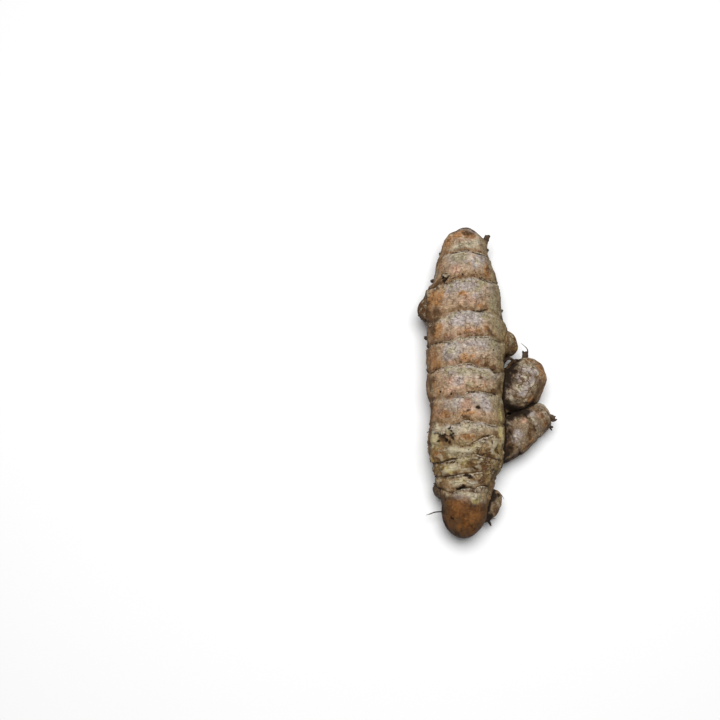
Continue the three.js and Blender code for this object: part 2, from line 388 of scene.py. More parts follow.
# The shown course of each ring of the body: degrees round, how far it strays along, how deep it is.
RING_COURSES = [
    [(159, 5.4, 0.4), (151, 3.7, 0.5), (134, 2.3, 0.3), (111, 2.0, 1.2), (100, 1.8, 1.4), (89, 1.7, 1.3),
     (83, 2.3, 0.6), (63, 2.0, 1.0), (51, 1.9, 1.2), (38, 2.3, 0.8), (21, 2.4, 0.8)],
    [(161, 2.7, 0.8), (149, 2.5, 0.7), (142, 1.9, 0.8), (124, 2.1, 1.0), (114, 1.7, 1.0), (107, 1.5, 0.5),
     (96, 0.9, 0.5), (89, 0.7, 0.3), (79, 0.5, 0.3), (61, 0.8, 1.0), (51, 1.1, 0.9), (38, 0.8, 1.0)],
    [(150, 2.7, 0.5), (132, 2.2, 0.4), (121, 1.3, 0.4), (107, 0.7, 0.3), (102, 0.3, 0.8), (93, 0.2, 0.3),
     (85, 0.1, 0.3), (78, 0.2, 0.7), (69, 0.2, 0.9), (59, -0.3, 0.6), (48, 0.3, 0.3), (31, 0.5, 0.2)],
    [(160, 1.3, 1.2), (151, 1.0, 0.8), (141, 1.0, 1.2), (130, 1.1, 1.2), (121, 1.4, 0.7), (109, 0.7, 0.5),
     (102, 0.1, 0.3), (95, 0.8, 0.8), (91, 0.5, 0.5), (81, 0.2, 0.8), (75, 0.2, 0.5), (60, -0.2, 0.8),
     (54, 0.2, 1.0), (41, 0.6, 0.8)],
    [(153, 0.6, 0.7), (146, 0.1, 0.9), (133, 0, 0.8), (124, -0.1, 0.4), (108, -0.5, 0.4), (95, -0.8, 1.1),
     (87, -1.0, 1.2), (81, -0.4, 0.9), (73, 0.4, 0.8), (64, 0.2, 0.7), (56, 0.2, 0.8), (50, 1.6, 1.0)],
    [(171, 0, 0.4), (146, 0.2, 0.3), (127, 0.5, 0.2), (116, 0.8, 0.2), (109, 0.5, 0.7), (99, 0.2, 0.7),
     (96, -0.7, 0.6), (92, -1.1, 1.1), (86, -1.1, 0.9), (74, -1.3, 0.5), (52, -1.0, 0.9), (31, -1.3, 0.7)],
    [(178, -0.2, 0.4), (149, -0.4, 0.4), (133, 0.3, 0.3), (107, 0.5, 0.5), (100, -0.4, 0.9),
     (90, -0.3, 0.7), (82, -0.1, 0.5), (74, -0.3, 0.4), (63, 0.2, 0.7), (51, 0.6, 0.5)],
    [(178, -1.7, 0.3), (152, -0.5, 0.5), (137, 0, 0.5), (122, 0.1, 0.4), (97, 0.7, 0.3), (89, 0.3, 0.4),
     (87, -0.5, 0.5), (77, -1.6, 0.9), (68, -2.6, 0.8), (60, -2.9, 0.8), (52, -3.7, 0.6)],
    [(168, -0.7, 0.6), (145, -0.4, 1.4), (133, -0.8, 1.3), (122, -1.4, 1.2), (116, -1.4, 1.2),
     (108, -2.0, 0.6), (99, -2.4, 0.3), (91, -3.0, 0.5), (83, -3.4, 0.5), (74, -3.1, 0.5), (64, -2.7, 0.4),
     (39, -2.3, 0.8)],
    [(149, 0.3, 0.8), (129, 0.1, 1.1), (118, -0.1, 1.0), (109, -0.5, 0.9), (89, -1.0, 1.2), (76, -1.3, 0.9),
     (64, -1.7, 0.7), (55, -2.0, 0.9), (47, -2.7, 1.1), (34, -2.7, 0.6)],
    [(159, -0.9, 0.9), (143, 0, 1.1), (122, 0.6, 0.9), (115, 0, 1.2), (104, -0.5, 1.5), (90, -0.8, 1.5),
     (84, -1.1, 1.0), (73, -0.6, 1.1), (69, -1.4, 0.9), (56, -2.0, 1.2), (42, -2.0, 1.1)],
]
print("rings of the body:", len(RING_COURSES), "with", sum(map(len, RING_COURSES)), "places along them")

# %% [markdown]
# Away from the places in that list, on the hidden side, a ring goes over into a slow wander. Its relief
# has four parts: a dark crease, a rim after it, a brow before it, and on some rings a few fine ridges
# that run along. A grain of smooth noise makes each part come and go.

# %% Ring lines and their relief


def grain(points, size, seed):
    """Smooth noise from about -1 to 1, whose lumps are about `size` millimetres across."""
    shift = 37.3 * seed
    places = (np.asarray(points) / size + shift).tolist()
    return np.array([noise.noise(place) for place in places])


def ring_line(stem, number, turn, wobble, strength):
    """Where a ring lies along the stem, and how deep it is, at an angle round it."""
    lean = 2.4 * (number + 1 + stem.phase)
    stray = 0.6 * np.cos(turn - lean) + 0.4 * np.cos(2 * turn + 1.7 * lean)
    stray = RING_WANDER * stem.relief * stray + wobble
    if stem is STEMS["body"]:
        course = np.array(sorted(RING_COURSES[number]))
        degrees = np.degrees(turn)
        degrees = np.where(degrees < -90, degrees + 360, degrees)
        beyond = np.maximum(course[0, 0] - degrees, degrees - course[-1, 0])
        known = np.clip(1 - beyond / HIDDEN_BLEND, 0, 1)
        known = known * known * (3 - 2 * known)
        traced = smooth_through(course[:, :2], degrees) + TRACED_WOBBLE * wobble
        stray = stray + known * (traced - stray)
        shown = np.interp(degrees, course[:, 0], course[:, 2]) * (0.4 + strength)
        strength = strength + known * (shown - strength)
    return stem.rings[number] + stray, strength


def ring_fields(stem, along, turn, wobble, strength):
    """The relief, the signed distance to the nearest ring, the share of the way on, and its depth."""
    rings = [ring_line(stem, k, turn, wobble, strength) for k in range(len(stem.rings))]
    lines = np.stack([line for line, _ in rings])
    depths = np.stack([depth for _, depth in rings])
    gaps = along - lines
    nearest = np.argmin(np.abs(gaps), axis=0)
    gap = np.take_along_axis(gaps, nearest[None], 0)[0]
    strength = np.take_along_axis(depths, nearest[None], 0)[0]
    full = np.concatenate([np.zeros((1, len(along))), lines, np.full((1, len(along)), stem.length)])
    passed = (gaps >= 0).sum(0)
    before = np.take_along_axis(full, passed[None], 0)[0]
    after = np.take_along_axis(full, passed[None] + 1, 0)[0]
    share = np.clip((along - before) / np.maximum(after - before, 0.1), 0, 1)
    relief = -CREASE_DEPTH * strength * hill(gap, CREASE_WIDTH)
    relief += LIP_HEIGHT * np.clip(1.3 - strength, 0, 1) * hill(gap - LIP_AT, LIP_WIDTH)
    relief += BROW_HEIGHT * strength * hill(gap - BROW_AT, LIP_WIDTH)
    if stem is STEMS["body"]:
        rippled = np.array([RIPPLED_RINGS.get(k, RIPPLED_ELSEWHERE) for k in range(len(stem.rings))])
        wave = np.cos(2 * math.pi * gap / RIPPLE_LENGTH) * hill(gap - RIPPLES_AT, RIPPLES_REACH)
        relief += RIPPLE_HEIGHT * rippled[nearest] * wave
    return relief, gap, share, strength


wobble = 0.55 * grain(plain, 5.5, 1) + 0.3 * grain(plain, 2.2, 2)
ring_strength = np.clip(0.6 + 1.5 * grain(plain, 4.2, 3), 0.08, 1.5)
relief = np.zeros(len(plain))
gap = np.zeros(len(plain))
share = np.zeros(len(plain))
ring_depth = np.zeros(len(plain))
for name, stem in STEMS.items():
    mine = owned_by == name
    along, turn = measured[name][:2]
    rise, its_gap, its_share, its_depth = ring_fields(stem, along, turn, wobble, ring_strength)
    relief += share_of[name] * rise * RINGS_SHOW[name]
    ring_depth[mine] = its_depth[mine] * RINGS_SHOW[name]
    gap[mine] = its_gap[mine]
    share[mine] = its_share[mine]
print("ring relief from %.2f to %.2f mm" % (relief.min(), relief.max()))

# %% [markdown]
# ## Marks of its life
# The skin tells what grew from it: round scars where buds and roots came away, pits, cracks, a lifted
# flap, and stains of orange, pink and pale grey. Each mark is one line in a list, placed by distance
# and angle. Painting them by hand on a texture would tie them to one image size; a list stays editable.

# %% Stains of the body, placed one by one
# Each: distance along, degrees round, half length along the stem, half width round it, strength.
STAINS = {
    "pink": [
        (19.1, 109, 1.6, 1.9, 0.9), (42.4, 118, 1.2, 1.8, 1.0), (64.6, 94, 2.2, 2.2, 1.0),
        (60.0, 118, 1.3, 2.2, 0.8), (66.8, 137, 2.0, 2.6, 0.6), (30.0, 90, 2.4, 4.5, 0.5),
        (51.0, 115, 1.0, 1.8, 0.8), (51.2, 77, 1.0, 1.4, 0.9), (31.0, 73, 1.4, 1.6, 0.7),
        (40.8, 85, 1.4, 3.5, 0.7), (57.0, 118, 2.0, 2.4, 0.5),
    ],
    "orange": [
        (4.2, 104, 1.8, 3.0, 0.8), (5.4, 80, 1.8, 3.0, 0.9), (48.0, 160, 3.2, 1.6, 0.7),
        (5.6, 115, 1.8, 2.2, 0.9), (7.6, 137, 2.4, 1.2, 0.8), (18.6, 51, 3.2, 1.3, 1.0),
        (27.8, 137, 2.4, 1.8, 0.8), (27.8, 151, 3.0, 1.6, 1.0), (27.8, 98, 1.3, 1.4, 0.9),
        (30.0, 142, 2.0, 2.0, 0.7), (32.0, 69, 1.0, 1.8, 0.7), (40.9, 94, 0.9, 1.7, 0.7),
        (40.8, 75, 0.8, 1.4, 0.7), (39.5, 62, 1.3, 1.2, 0.9), (39.7, 141, 2.6, 1.6, 1.0),
        (38.8, 131, 2.0, 1.4, 0.8), (48.5, 150, 3.4, 2.0, 0.9), (51.0, 144, 1.5, 3.0, 1.0),
        (49.7, 95, 1.6, 1.8, 0.9), (49.3, 84, 1.1, 1.6, 0.7), (50.8, 76, 0.9, 1.4, 0.8),
        (58.5, 66, 1.4, 1.6, 0.5), (67.6, 126, 1.6, 2.6, 0.8), (67.8, 101, 0.9, 1.2, 0.8),
        (67.4, 88, 1.0, 2.2, 0.8), (75.0, 93, 1.0, 1.9, 1.0), (80.6, 145, 2.0, 1.8, 0.8),
        (99.0, 70, 1.6, 1.8, 0.5), (35.0, 150, 1.4, 1.6, 0.6), (58.0, 150, 2.0, 1.4, 0.6),
    ],
    # The pale lilac stains along the top are partly a painted sheen.
    "pale": [
        (25.2, 88, 1.8, 4.4, 0.9), (37.0, 79, 2.0, 2.6, 1.0), (37.2, 104, 2.4, 2.8, 0.9),
        (35.4, 92, 1.4, 5.0, 0.8), (46.8, 113, 3.2, 3.4, 1.1), (48.6, 121, 2.2, 2.2, 0.9),
        (45.0, 86, 1.2, 4.4, 0.7), (54.6, 90, 1.4, 4.2, 0.3), (57.0, 108, 1.8, 2.4, 0.9),
        (63.6, 107, 2.2, 2.0, 1.0), (64.5, 62, 2.6, 2.4, 0.9), (61.6, 76, 1.0, 2.8, 0.9),
        (16.8, 74, 2.2, 1.8, 0.9), (12.9, 86, 0.8, 3.0, 0.5), (28.6, 78, 2.0, 2.0, 0.6),
    ],
    "cream": [
        (47.6, 156, 2.6, 1.4, 0.5), (47.0, 115, 2.2, 2.4, 0.7), (5.0, 60, 1.4, 1.4, 0.6),
        (9.4, 82, 1.6, 2.8, 1.0), (7.6, 62, 1.8, 1.8, 0.8), (10.4, 110, 1.3, 2.4, 1.0),
        (11.4, 123, 0.8, 1.4, 0.8), (13.6, 112, 1.6, 2.4, 0.7), (16.2, 70, 1.8, 1.3, 0.7),
        (72.2, 95, 1.2, 2.6, 0.9), (72.2, 78, 1.2, 1.6, 0.8), (73.4, 110, 1.2, 1.6, 0.8),
        (70.6, 150, 0.9, 1.8, 0.8), (72.3, 143, 1.0, 3.2, 1.2), (79.8, 113, 2.0, 3.2, 1.0),
        (78.9, 92, 1.1, 3.2, 0.9), (77.7, 77, 0.8, 1.6, 0.8), (84.6, 118, 1.1, 2.2, 0.8),
        (89.3, 115, 1.0, 2.4, 0.8), (89.5, 82, 0.9, 1.5, 1.0), (93.4, 75, 1.2, 1.3, 1.0),
        (92.6, 92, 0.6, 2.2, 0.6),
    ],
    "greenish": [
        (54.0, 92, 1.4, 4.8, 1.1), (59.5, 158, 3.0, 1.8, 0.8), (14.6, 104, 2.6, 3.6, 0.8),
        (30.0, 42, 4.0, 2.6, 0.8), (44.0, 50, 2.6, 3.0, 0.8), (54.4, 64, 1.6, 2.4, 0.8),
        (53.4, 82, 1.0, 1.8, 0.7), (58.0, 90, 1.6, 2.0, 0.6), (62.4, 54, 1.6, 1.8, 0.6),
        (37.6, 34, 2.6, 2.0, 0.7), (43.6, 100, 0.6, 3.0, 0.7), (52.9, 118, 0.6, 2.8, 0.7),
        (71.0, 106, 0.6, 3.6, 0.6), (77.0, 100, 0.8, 3.4, 0.6), (81.4, 100, 1.0, 3.0, 0.6),
        (93.4, 56, 1.6, 2.4, 0.6),
    ],
    "yellow": [
        (84.2, 88, 1.0, 3.0, 0.6), (88.5, 100, 1.0, 3.0, 0.5), (66.8, 33, 2.6, 1.4, 0.9),
        (72.1, 37, 2.6, 1.4, 1.0), (76.2, 36, 2.0, 1.4, 0.8), (75.2, 151, 2.8, 2.6, 1.2),
        (85.4, 127, 1.4, 2.0, 1.0), (94.2, 72, 1.4, 1.5, 1.0), (82.6, 100, 1.0, 1.4, 0.7),
        (77.4, 148, 1.4, 2.0, 0.5), (46.0, 138, 1.0, 1.0, 0.4),
    ],
    "brown": [
        (1.6, 90, 1.4, 3.0, 0.9), (2.6, 60, 1.6, 1.4, 0.8), (4.6, 88, 1.2, 2.6, 0.8),
        (18.0, 46, 2.6, 1.8, 0.6), (55.2, 152, 1.2, 1.4, 0.9), (84.4, 74, 1.8, 5.0, 1.0),
        (3.0, 130, 1.6, 1.4, 0.8), (21.4, 131, 1.7, 2.4, 1.0), (23.1, 142, 1.4, 2.0, 0.9),
        (33.4, 146, 1.6, 2.6, 0.8), (36.6, 152, 2.6, 2.0, 0.9), (40.6, 55, 1.4, 1.1, 1.0),
        (41.5, 48, 1.0, 1.4, 0.8), (51.7, 64, 0.8, 1.8, 0.7), (52.6, 50, 1.3, 1.3, 1.0),
        (56.1, 72, 0.5, 0.9, 0.9), (56.5, 160, 2.6, 1.6, 0.8), (58.3, 72, 0.6, 0.8, 0.7),
        (59.8, 49, 1.1, 1.5, 0.9), (63.5, 160, 2.4, 1.6, 0.7), (65.4, 76, 0.7, 0.6, 1.0),
        (68.7, 98, 0.7, 1.4, 1.0), (74.8, 61, 0.8, 1.6, 0.9), (75.5, 69, 0.7, 1.4, 0.8),
        (75.0, 135, 1.7, 1.7, 1.1), (81.5, 78, 2.0, 4.0, 0.6), (82.0, 58, 2.6, 3.0, 0.7),
        (85.5, 140, 1.6, 2.0, 0.7), (79.6, 73, 1.0, 1.4, 0.6), (79.3, 56, 1.6, 1.8, 0.7),
        (83.3, 88, 1.1, 1.6, 0.7), (83.1, 69, 1.4, 2.0, 0.8), (85.1, 84, 0.7, 1.4, 0.9),
        (86.6, 108, 1.0, 3.6, 0.7), (88.4, 62, 1.4, 2.6, 0.8), (87.0, 132, 1.4, 2.4, 0.8),
        (91.6, 76, 0.6, 2.6, 0.8), (24.4, 146, 1.6, 1.3, 1.0), (22.0, 138, 1.0, 1.4, 0.9),
        (87.3, 86, 0.8, 1.0, 1.0), (90.9, 102, 0.7, 1.6, 1.0), (90.0, 54, 0.8, 1.6, 1.0),
        (94.8, 152, 2.0, 1.8, 1.0), (94.2, 128, 1.2, 1.6, 0.8), (98.0, 147, 4.5, 2.4, 1.0),
        (102.8, 132, 2.6, 2.4, 1.0), (106.0, 90, 1.8, 5.0, 1.0), (101.0, 108, 1.2, 2.0, 0.7),
        (100.0, 36, 4.0, 2.0, 0.9), (57.5, 35, 2.6, 1.6, 0.6),
    ],
    "rust": [
        (4.5, 93, 1.3, 1.7, 1.0), (41.6, 124, 0.8, 1.4, 0.7), (52.0, 148, 0.8, 2.0, 1.0),
        (51.6, 88, 0.5, 1.9, 1.0), (95.7, 118, 1.4, 2.8, 1.0), (97.2, 97, 1.4, 3.2, 1.0),
        (99.5, 120, 3.0, 2.4, 0.7), (103.5, 96, 2.0, 3.4, 0.8), (99.4, 66, 2.8, 3.0, 1.0),
        (68.5, 125, 0.7, 1.4, 0.8), (27.9, 100, 0.6, 0.7, 0.8), (81.4, 142, 0.8, 1.6, 0.7),
    ],
}
print("stains by hand:", {kind: len(places) for kind, places in STAINS.items()})

# %% Pits, scars, cracks and bumps of the body
# Pits: distance along, degrees round, radius, depth.
PITS = [
    (21.1, 97, 0.5, 0.7), (33.9, 103, 0.35, 0.4), (32.6, 106, 0.3, 0.35), (59.8, 138, 0.5, 0.6),
    (61.0, 118, 0.4, 0.5), (65.4, 78, 0.5, 0.6), (7.6, 92, 0.3, 0.3), (50.8, 88, 0.3, 0.3),
    (50.4, 80, 0.25, 0.3), (51.2, 76, 0.3, 0.3), (75.0, 119, 0.35, 0.4), (75.8, 115, 0.3, 0.4),
    (74.6, 113, 0.3, 0.3), (76.0, 121, 0.3, 0.3), (74.3, 117, 0.25, 0.3), (82.6, 117, 0.4, 0.5),
    (53.1, 52, 0.5, 0.5), (46.6, 50, 0.35, 0.3), (20.4, 128, 0.5, 0.5), (21.4, 134, 0.6, 0.6),
    (61.0, 92, 0.3, 0.3), (60.6, 88, 0.25, 0.3), (87.2, 86, 0.9, 0.7), (100.5, 128, 0.7, 0.3),
    (90.3, 97, 0.8, 1.0), (90.9, 103, 0.7, 0.9), (91.4, 110, 0.5, 0.6), (65.4, 76, 0.6, 0.5),
    (20.3, 136, 0.6, 0.6), (21.9, 127, 0.7, 0.8), (22.7, 131, 0.7, 0.7), (75.8, 130, 0.7, 0.7),
    (75.8, 143, 0.5, 0.5), (76.6, 124, 0.5, 0.5), (74.2, 120, 0.55, 0.5), (75.2, 117, 0.55, 0.5),
    (73.8, 115, 0.4, 0.4), (72.2, 121, 0.45, 0.5), (73.2, 118, 0.4, 0.4), (71.6, 119, 0.35, 0.4),
]
# Round scars of buds: distance along, degrees round, radius, rim height.
BUD_SCARS = [(15.7, 86, 1.5, 0.22), (68.1, 97, 1.2, 0.25), (75.0, 95, 1.5, 0.35), (26.8, 98, 0.8, 0.12),
             (57.0, -80, 1.7, 0.3), (36.5, -60, 1.3, 0.25), (82.0, -110, 1.4, 0.3)]
# Cracks: from distance and degrees, to distance and degrees, depth.
CRACKS = [
    (73.4, 147, 74.9, 120, 0.5), (74.9, 120, 76.6, 112, 0.35), (75.4, 72, 74.3, 48, 0.45),
    (75.2, 58, 77.4, 52, 0.35), (83.0, 142, 82.5, 112, 0.5), (91.6, 114, 90.7, 88, 0.6),
    (66.6, 104, 66.3, 86, 0.3), (44.3, 150, 43.6, 118, 0.35), (12.0, 108, 12.0, 95, 0.4),
    (12.2, 82, 12.5, 62, 0.35), (22.9, 124, 21.9, 104, 0.45), (86.9, 132, 86.3, 62, 0.4),
    (79.6, 60, 81.6, 75, 0.35), (84.6, 100, 84.3, 70, 0.3), (77.8, 40, 80.4, 36, 0.35),
    (33.0, 70, 33.2, 50, 0.25), (97.5, 112, 96.2, 95, 0.2),
]
# Bumps: distance along, degrees round, half length, half width, height.
BUMPS = [
    (75.1, 150, 2.8, 2.2, 0.7), (76.7, 48, 1.3, 1.2, 0.6), (72.6, 130, 0.9, 3.6, 0.35),
    (79.3, 112, 1.4, 3.4, 0.35), (85.8, 134, 1.4, 1.8, 0.45), (89.8, 103, 0.9, 3.2, 0.4),
    (89.5, 78, 0.9, 1.6, 0.4), (81.0, 70, 1.6, 2.4, 0.4), (80.4, 90, 1.0, 1.4, 0.3),
    (73.0, 33, 3.0, 1.4, 0.4), (93.4, 74, 1.2, 1.8, 0.25), (85.0, 80, 1.1, 2.2, 0.25),
    (20.6, 134, 0.7, 1.6, 0.5), (22.0, 124, 0.8, 1.3, 0.45), (22.2, 134, 0.6, 0.8, 0.5),
    (20.0, 126, 0.6, 1.0, 0.3), (82.0, -60, 2.0, 2.4, 0.4), (86.4, 8, 3.6, 5.0, -1.1),
    (72.4, 143, 0.8, 3.0, 0.7), (75.2, 158, 2.6, 1.8, 0.5), (74.8, 136, 1.5, 1.5, -0.9),
    (70.0, -100, 2.0, 3.0, 0.3), (50.0, -75, 2.4, 2.4, 0.3),
]
print("relief marks by hand:", sum(map(len, [PITS, BUD_SCARS, CRACKS, BUMPS])))

# %% [markdown]
# The fingers and buds are too short and bent for a distance and an angle to be handy. Their marks are
# balls of colour at places in space, and whatever skin lies inside a ball takes its tint.

# %% Marks on the fingers and buds
# Each mark: its place in the root's own millimetres, its reach and its strength.
SPOTS = {
    # The pale marks on the tops of the fingers are partly a painted sheen.
    "pale": [
        ((19.9, 0.6, 16.2), 2.8, 1.0), ((20.8, -2.1, 16.3), 2.4, 1.0), ((18.1, -5.7, 16.0), 2.2, 0.9),
        ((17.8, -1.2, 16.8), 2.0, 0.9), ((22.6, 0.8, 15.6), 1.6, 0.7), ((16.6, -19.7, 14.3), 1.6, 0.9),
        ((14.9, -21.5, 14.3), 1.6, 0.9), ((21.5, -12.8, 12.9), 1.3, 0.8), ((-13.6, 24.6, 14.6), 1.0, 0.5),
        ((20.8, 6.4, 14.2), 1.8, 0.7),
    ],
    "orange": [
        ((21.6, 5.6, 13.0), 1.6, 0.8), ((20.0, 4.9, 14.1), 1.6, 0.6), ((22.3, 4.2, 14.1), 1.4, 0.5),
        ((24.6, 2.8, 13.4), 2.0, 0.9), ((25.5, 0.2, 13.6), 2.2, 1.0), ((26.6, -2.4, 10.6), 2.6, 1.0),
        ((26.0, -4.5, 9.2), 2.4, 1.0), ((21.0, -7.8, 13.3), 1.6, 0.9), ((26.5, -11.3, 10.8), 1.8, 0.5),
        ((27.0, -13.8, 11.2), 1.8, 0.4), ((25.9, -15.9, 11.2), 1.8, 0.5), ((18.7, -23.6, 11.8), 2.0, 0.5),
        ((21.2, -21.5, 12), 1.4, 0.9), ((-15.6, 22.0, 12.0), 1.8, 0.9), ((21.6, 9.6, 11.8), 1.8, 0.8),
        ((24.4, 5.4, 12.2), 1.8, 0.8),
    ],
    # The cream marks on top of the ball finger are partly painted light, where its top catches the light.
    "cream": [((20.6, 4.4, 14.4), 2.6, 1.0), ((23.0, 4.2, 13.8), 1.8, 0.9), ((17.9, 4.6, 14.3), 1.4, 0.7),
              ((19.5, -1, 16.6), 1.6, 0.8), ((17.2, -4.5, 16.2), 1.6, 0.8), ((21.6, -3.6, 15.6), 1.2, 0.7),
              ((20.2, 6.8, 14.0), 2.2, 0.9), ((20.0, 9.0, 12.4), 2.2, 0.9), ((23.0, 6.2, 12.8), 2.0, 0.8)],
    "brown": [
        ((13.2, -18.6, 14.6), 2.2, 1.0), ((13.4, -21.6, 15.0), 1.6, 1.0), ((13.6, -24.0, 14.0), 2.2, 1.0),
        ((20.4, -19.8, 13.4), 1.3, 1.0), ((24.8, -13.4, 12.4), 1.2, 1.0), ((23.6, -4.9, 13.9), 1.1, 1.0),
        ((22.5, -7.5, 12.0), 1.4, 1.0), ((15.8, -7.2, 15.1), 1.0, 1.0), ((25.0, 2.7, 13.2), 1.0, 0.9),
        ((20.7, -18.2, 13.2), 0.8, 1.0), ((20.7, -20.7, 12.4), 1.0, 1.0), ((20.5, -22.8, 10.9), 1.0, 1.0),
        ((24.3, -11.3, 12.1), 0.9, 1.0), ((9.2, -44.0, 10.2), 1.4, 1.0), ((8.5, -42.4, 11.2), 1.0, 1.0),
        ((-12.6, 22.7, 14.4), 2.0, 1.0), ((-12.8, 25.4, 14.4), 2.0, 0.9), ((-14.8, 24.2, 13.2), 1.6, 0.8),
        ((-14.0, 20.6, 13.0), 2.2, 1.0), ((-14.2, 25.4, 12.0), 2.6, 1.0), ((-15.6, 23.4, 11.4), 2.6, 1.0),
        ((-13.6, 24.0, 14.8), 2.6, 1.0), ((27.2, -12.6, 10.6), 1.6, 0.9), ((28.2, -10.2, 10.4), 1.6, 0.9),
        ((25.6, -8.6, 11.4), 1.2, 0.8), ((26.2, -15.6, 9.8), 1.5, 0.9), ((-11.3, 20.4, 15.2), 1.9, 1.0),
        ((-9.8, 20.5, 18.2), 2.0, 1.0), ((-10.0, 17.5, 19.4), 1.6, 0.9), ((-11.8, 17.7, 16.3), 2.2, 1.0),
        ((-10.9, 14.4, 18.2), 1.7, 0.9), ((15.9, 9.8, 13.7), 1.5, 0.9), ((16.9, 11.4, 12.6), 1.7, 0.9),
        ((16.4, 13.6, 12.0), 1.7, 0.7), ((13.4, 14.8, 13.4), 1.3, 0.5), ((14.9, 12.1, 14.0), 1.0, 0.7),
        ((15.3, 8.3, 12.7), 1.3, 1.0), ((-7.9, -42.8, 13.6), 2.0, 1.0), ((-7.6, -47.5, 12.1), 2.3, 1.0),
        ((-5.3, -50.7, 11.6), 2.2, 1.0), ((-1.3, -51.8, 13.0), 1.9, 1.0), ((3.5, -49.3, 13.7), 1.9, 1.0),
        ((5.6, -45.1, 13.5), 1.8, 1.0),
    ],
    # The rust and brown marks on the left bud darken it, partly as painted shade.
    "rust": [((-14.4, 25.0, 13.4), 2.6, 0.8), ((-13.6, 22.4, 14.8), 2.4, 0.8)],
    "pink": [
        ((18.8, -14.9, 13.4), 1.3, 0.9), ((24.2, -13.1, 12.9), 1.5, 0.8), ((26.4, 0.6, 13.5), 1.4, 0.6),
    ],
    # Soil marks; those in the hollows between the body and the fingers are mostly painted shade.
    "soil": [
        ((-8.4, -21.4, 18.7), 1.3, 0.8), ((-7.9, -22.5, 18.5), 1.1, 0.8), ((14.2, -13.6, 11.8), 2.2, 1.0),
        ((16.8, -12.6, 11.2), 2.2, 1.0), ((19.6, -12.2, 12.0), 1.8, 1.0), ((12.8, -16.6, 13.6), 1.8, 0.6),
        ((15.6, 0.6, 15.8), 1.8, 0.9), ((15.3, -1.8, 16.2), 1.5, 0.8), ((16.2, 3.4, 14.8), 1.5, 0.8),
        ((13.2, -21.4, 15.0), 2.0, 0.6), ((14.0, -24.4, 13.8), 1.8, 0.6), ((13.2, 4.0, 12.6), 2.4, 1.0),
        ((15.0, 5.2, 12.2), 2.0, 1.0), ((17.4, 6.2, 12.0), 1.5, 0.8), ((13.8, 1.0, 15.0), 2.4, 1.0),
        ((13.6, -2.0, 15.4), 2.2, 1.0), ((14.2, -0.7, 15.8), 1.5, 0.9), ((13.2, -3.9, 15.2), 1.6, 0.8),
        ((15.2, 2.4, 15.0), 1.8, 0.9), ((17.0, 4.0, 14.2), 1.1, 0.7), ((13.4, -9.6, 12.4), 2.4, 1.0),
        ((15.4, -10.6, 11.4), 2.6, 1.0), ((17.6, -10.9, 10.4), 2.6, 1.0), ((19.6, -10.0, 10.6), 2.2, 1.0),
        ((21.4, -8.6, 11.4), 1.6, 1.0), ((16.0, -12.6, 10.8), 2.4, 1.0), ((18.6, -12.2, 11.6), 1.5, 0.9),
        ((12.8, -20.5, 14.2), 1.5, 0.8), ((13.2, -24.0, 13.6), 1.5, 0.8), ((12.6, -25.8, 12.6), 2.0, 0.9),
        ((12.4, -27.6, 9.8), 2.2, 1.0), ((14.8, -26.7, 9.8), 1.1, 0.8), ((17.6, -25.4, 9.4), 0.9, 0.9),
        ((13.9, -19.2, 14.0), 1.3, 0.8), ((-9.9, -37.2, 9), 2.6, 1.0), ((-8.2, -44.5, 12.0), 2.4, 0.55),
        ((-7.4, -48.5, 11.0), 2.2, 0.55), ((-3.5, -52.0, 10.6), 2.2, 0.5), ((6.0, -47.5, 10.5), 2.0, 0.5),
        ((-6.8, -41.0, 15.0), 1.4, 0.5), ((8.4, -39.6, 11.2), 1.5, 1.0), ((8.0, -41.0, 11.4), 0.9, 0.9),
        ((9.9, -39.3, 10.6), 0.9, 0.9), ((7.0, -46.2, 10.0), 1.5, 1.0), ((6.4, -47.6, 8.0), 2.0, 0.9),
    ],
}
# Small swellings that the plain stems lack: place, reach and height.
SWELLS = [((28.4, -9.8, 8.8), 2.4, 0.9), ((19.1, -8.4, 13.7), 0.7, 0.5), ((14.4, -7.8, 14.6), 0.7, 0.5),
          ((26.0, -8.4, 8.6), 2.0, 0.5), ((13.4, 5.4, 11.6), 3.4, -2.2)]
print("marks on fingers and buds:", sum(map(len, SPOTS.values())))

# %% [markdown]
# The hidden side must be as alive as the shown one, so more marks are drawn by a seeded rule: small
# root pits that follow the rings, and stains all round. Seeding makes every run give the same root.

# %% Marks placed by a seeded rule
PITS_PER_RING = 5
PITS_BEFORE_RING = 1.6  # how far before its ring a pit lies on average
PIT_RADII, PIT_DEPTHS = (0.16, 0.34), (0.15, 0.35)
STAINS_ROUND = {"pink": 8, "orange": 18, "pale": 16, "cream": 12, "greenish": 12, "yellow": 8, "brown": 18,
                "rust": 8}
STAINED_STRETCH = (4, 102)
UNSEEN = (-200, 20)  # degrees round, from just left of the belly to the right side
STAIN_HALF_LENGTHS, STAIN_HALF_WIDTHS, STAIN_STRENGTHS = (1, 2.6), (1.2, 4.5), (0.4, 0.9)

draw = np.random.default_rng(11)
for ring in STEMS["body"].rings:
    for _ in range(PITS_PER_RING):
        place = (ring - draw.exponential(PITS_BEFORE_RING), draw.uniform(-180, 180))
        PITS.append((*place, draw.uniform(*PIT_RADII), draw.uniform(*PIT_DEPTHS)))
for kind, count in STAINS_ROUND.items():
    for _ in range(count):
        place = (draw.uniform(*STAINED_STRETCH), draw.uniform(*UNSEEN))
        half_sizes = (draw.uniform(*STAIN_HALF_LENGTHS), draw.uniform(*STAIN_HALF_WIDTHS))
        STAINS[kind].append((*place, *half_sizes, draw.uniform(*STAIN_STRENGTHS)))
print("marks in all:", sum(map(len, [*STAINS.values(), PITS, BUD_SCARS, CRACKS, BUMPS])))

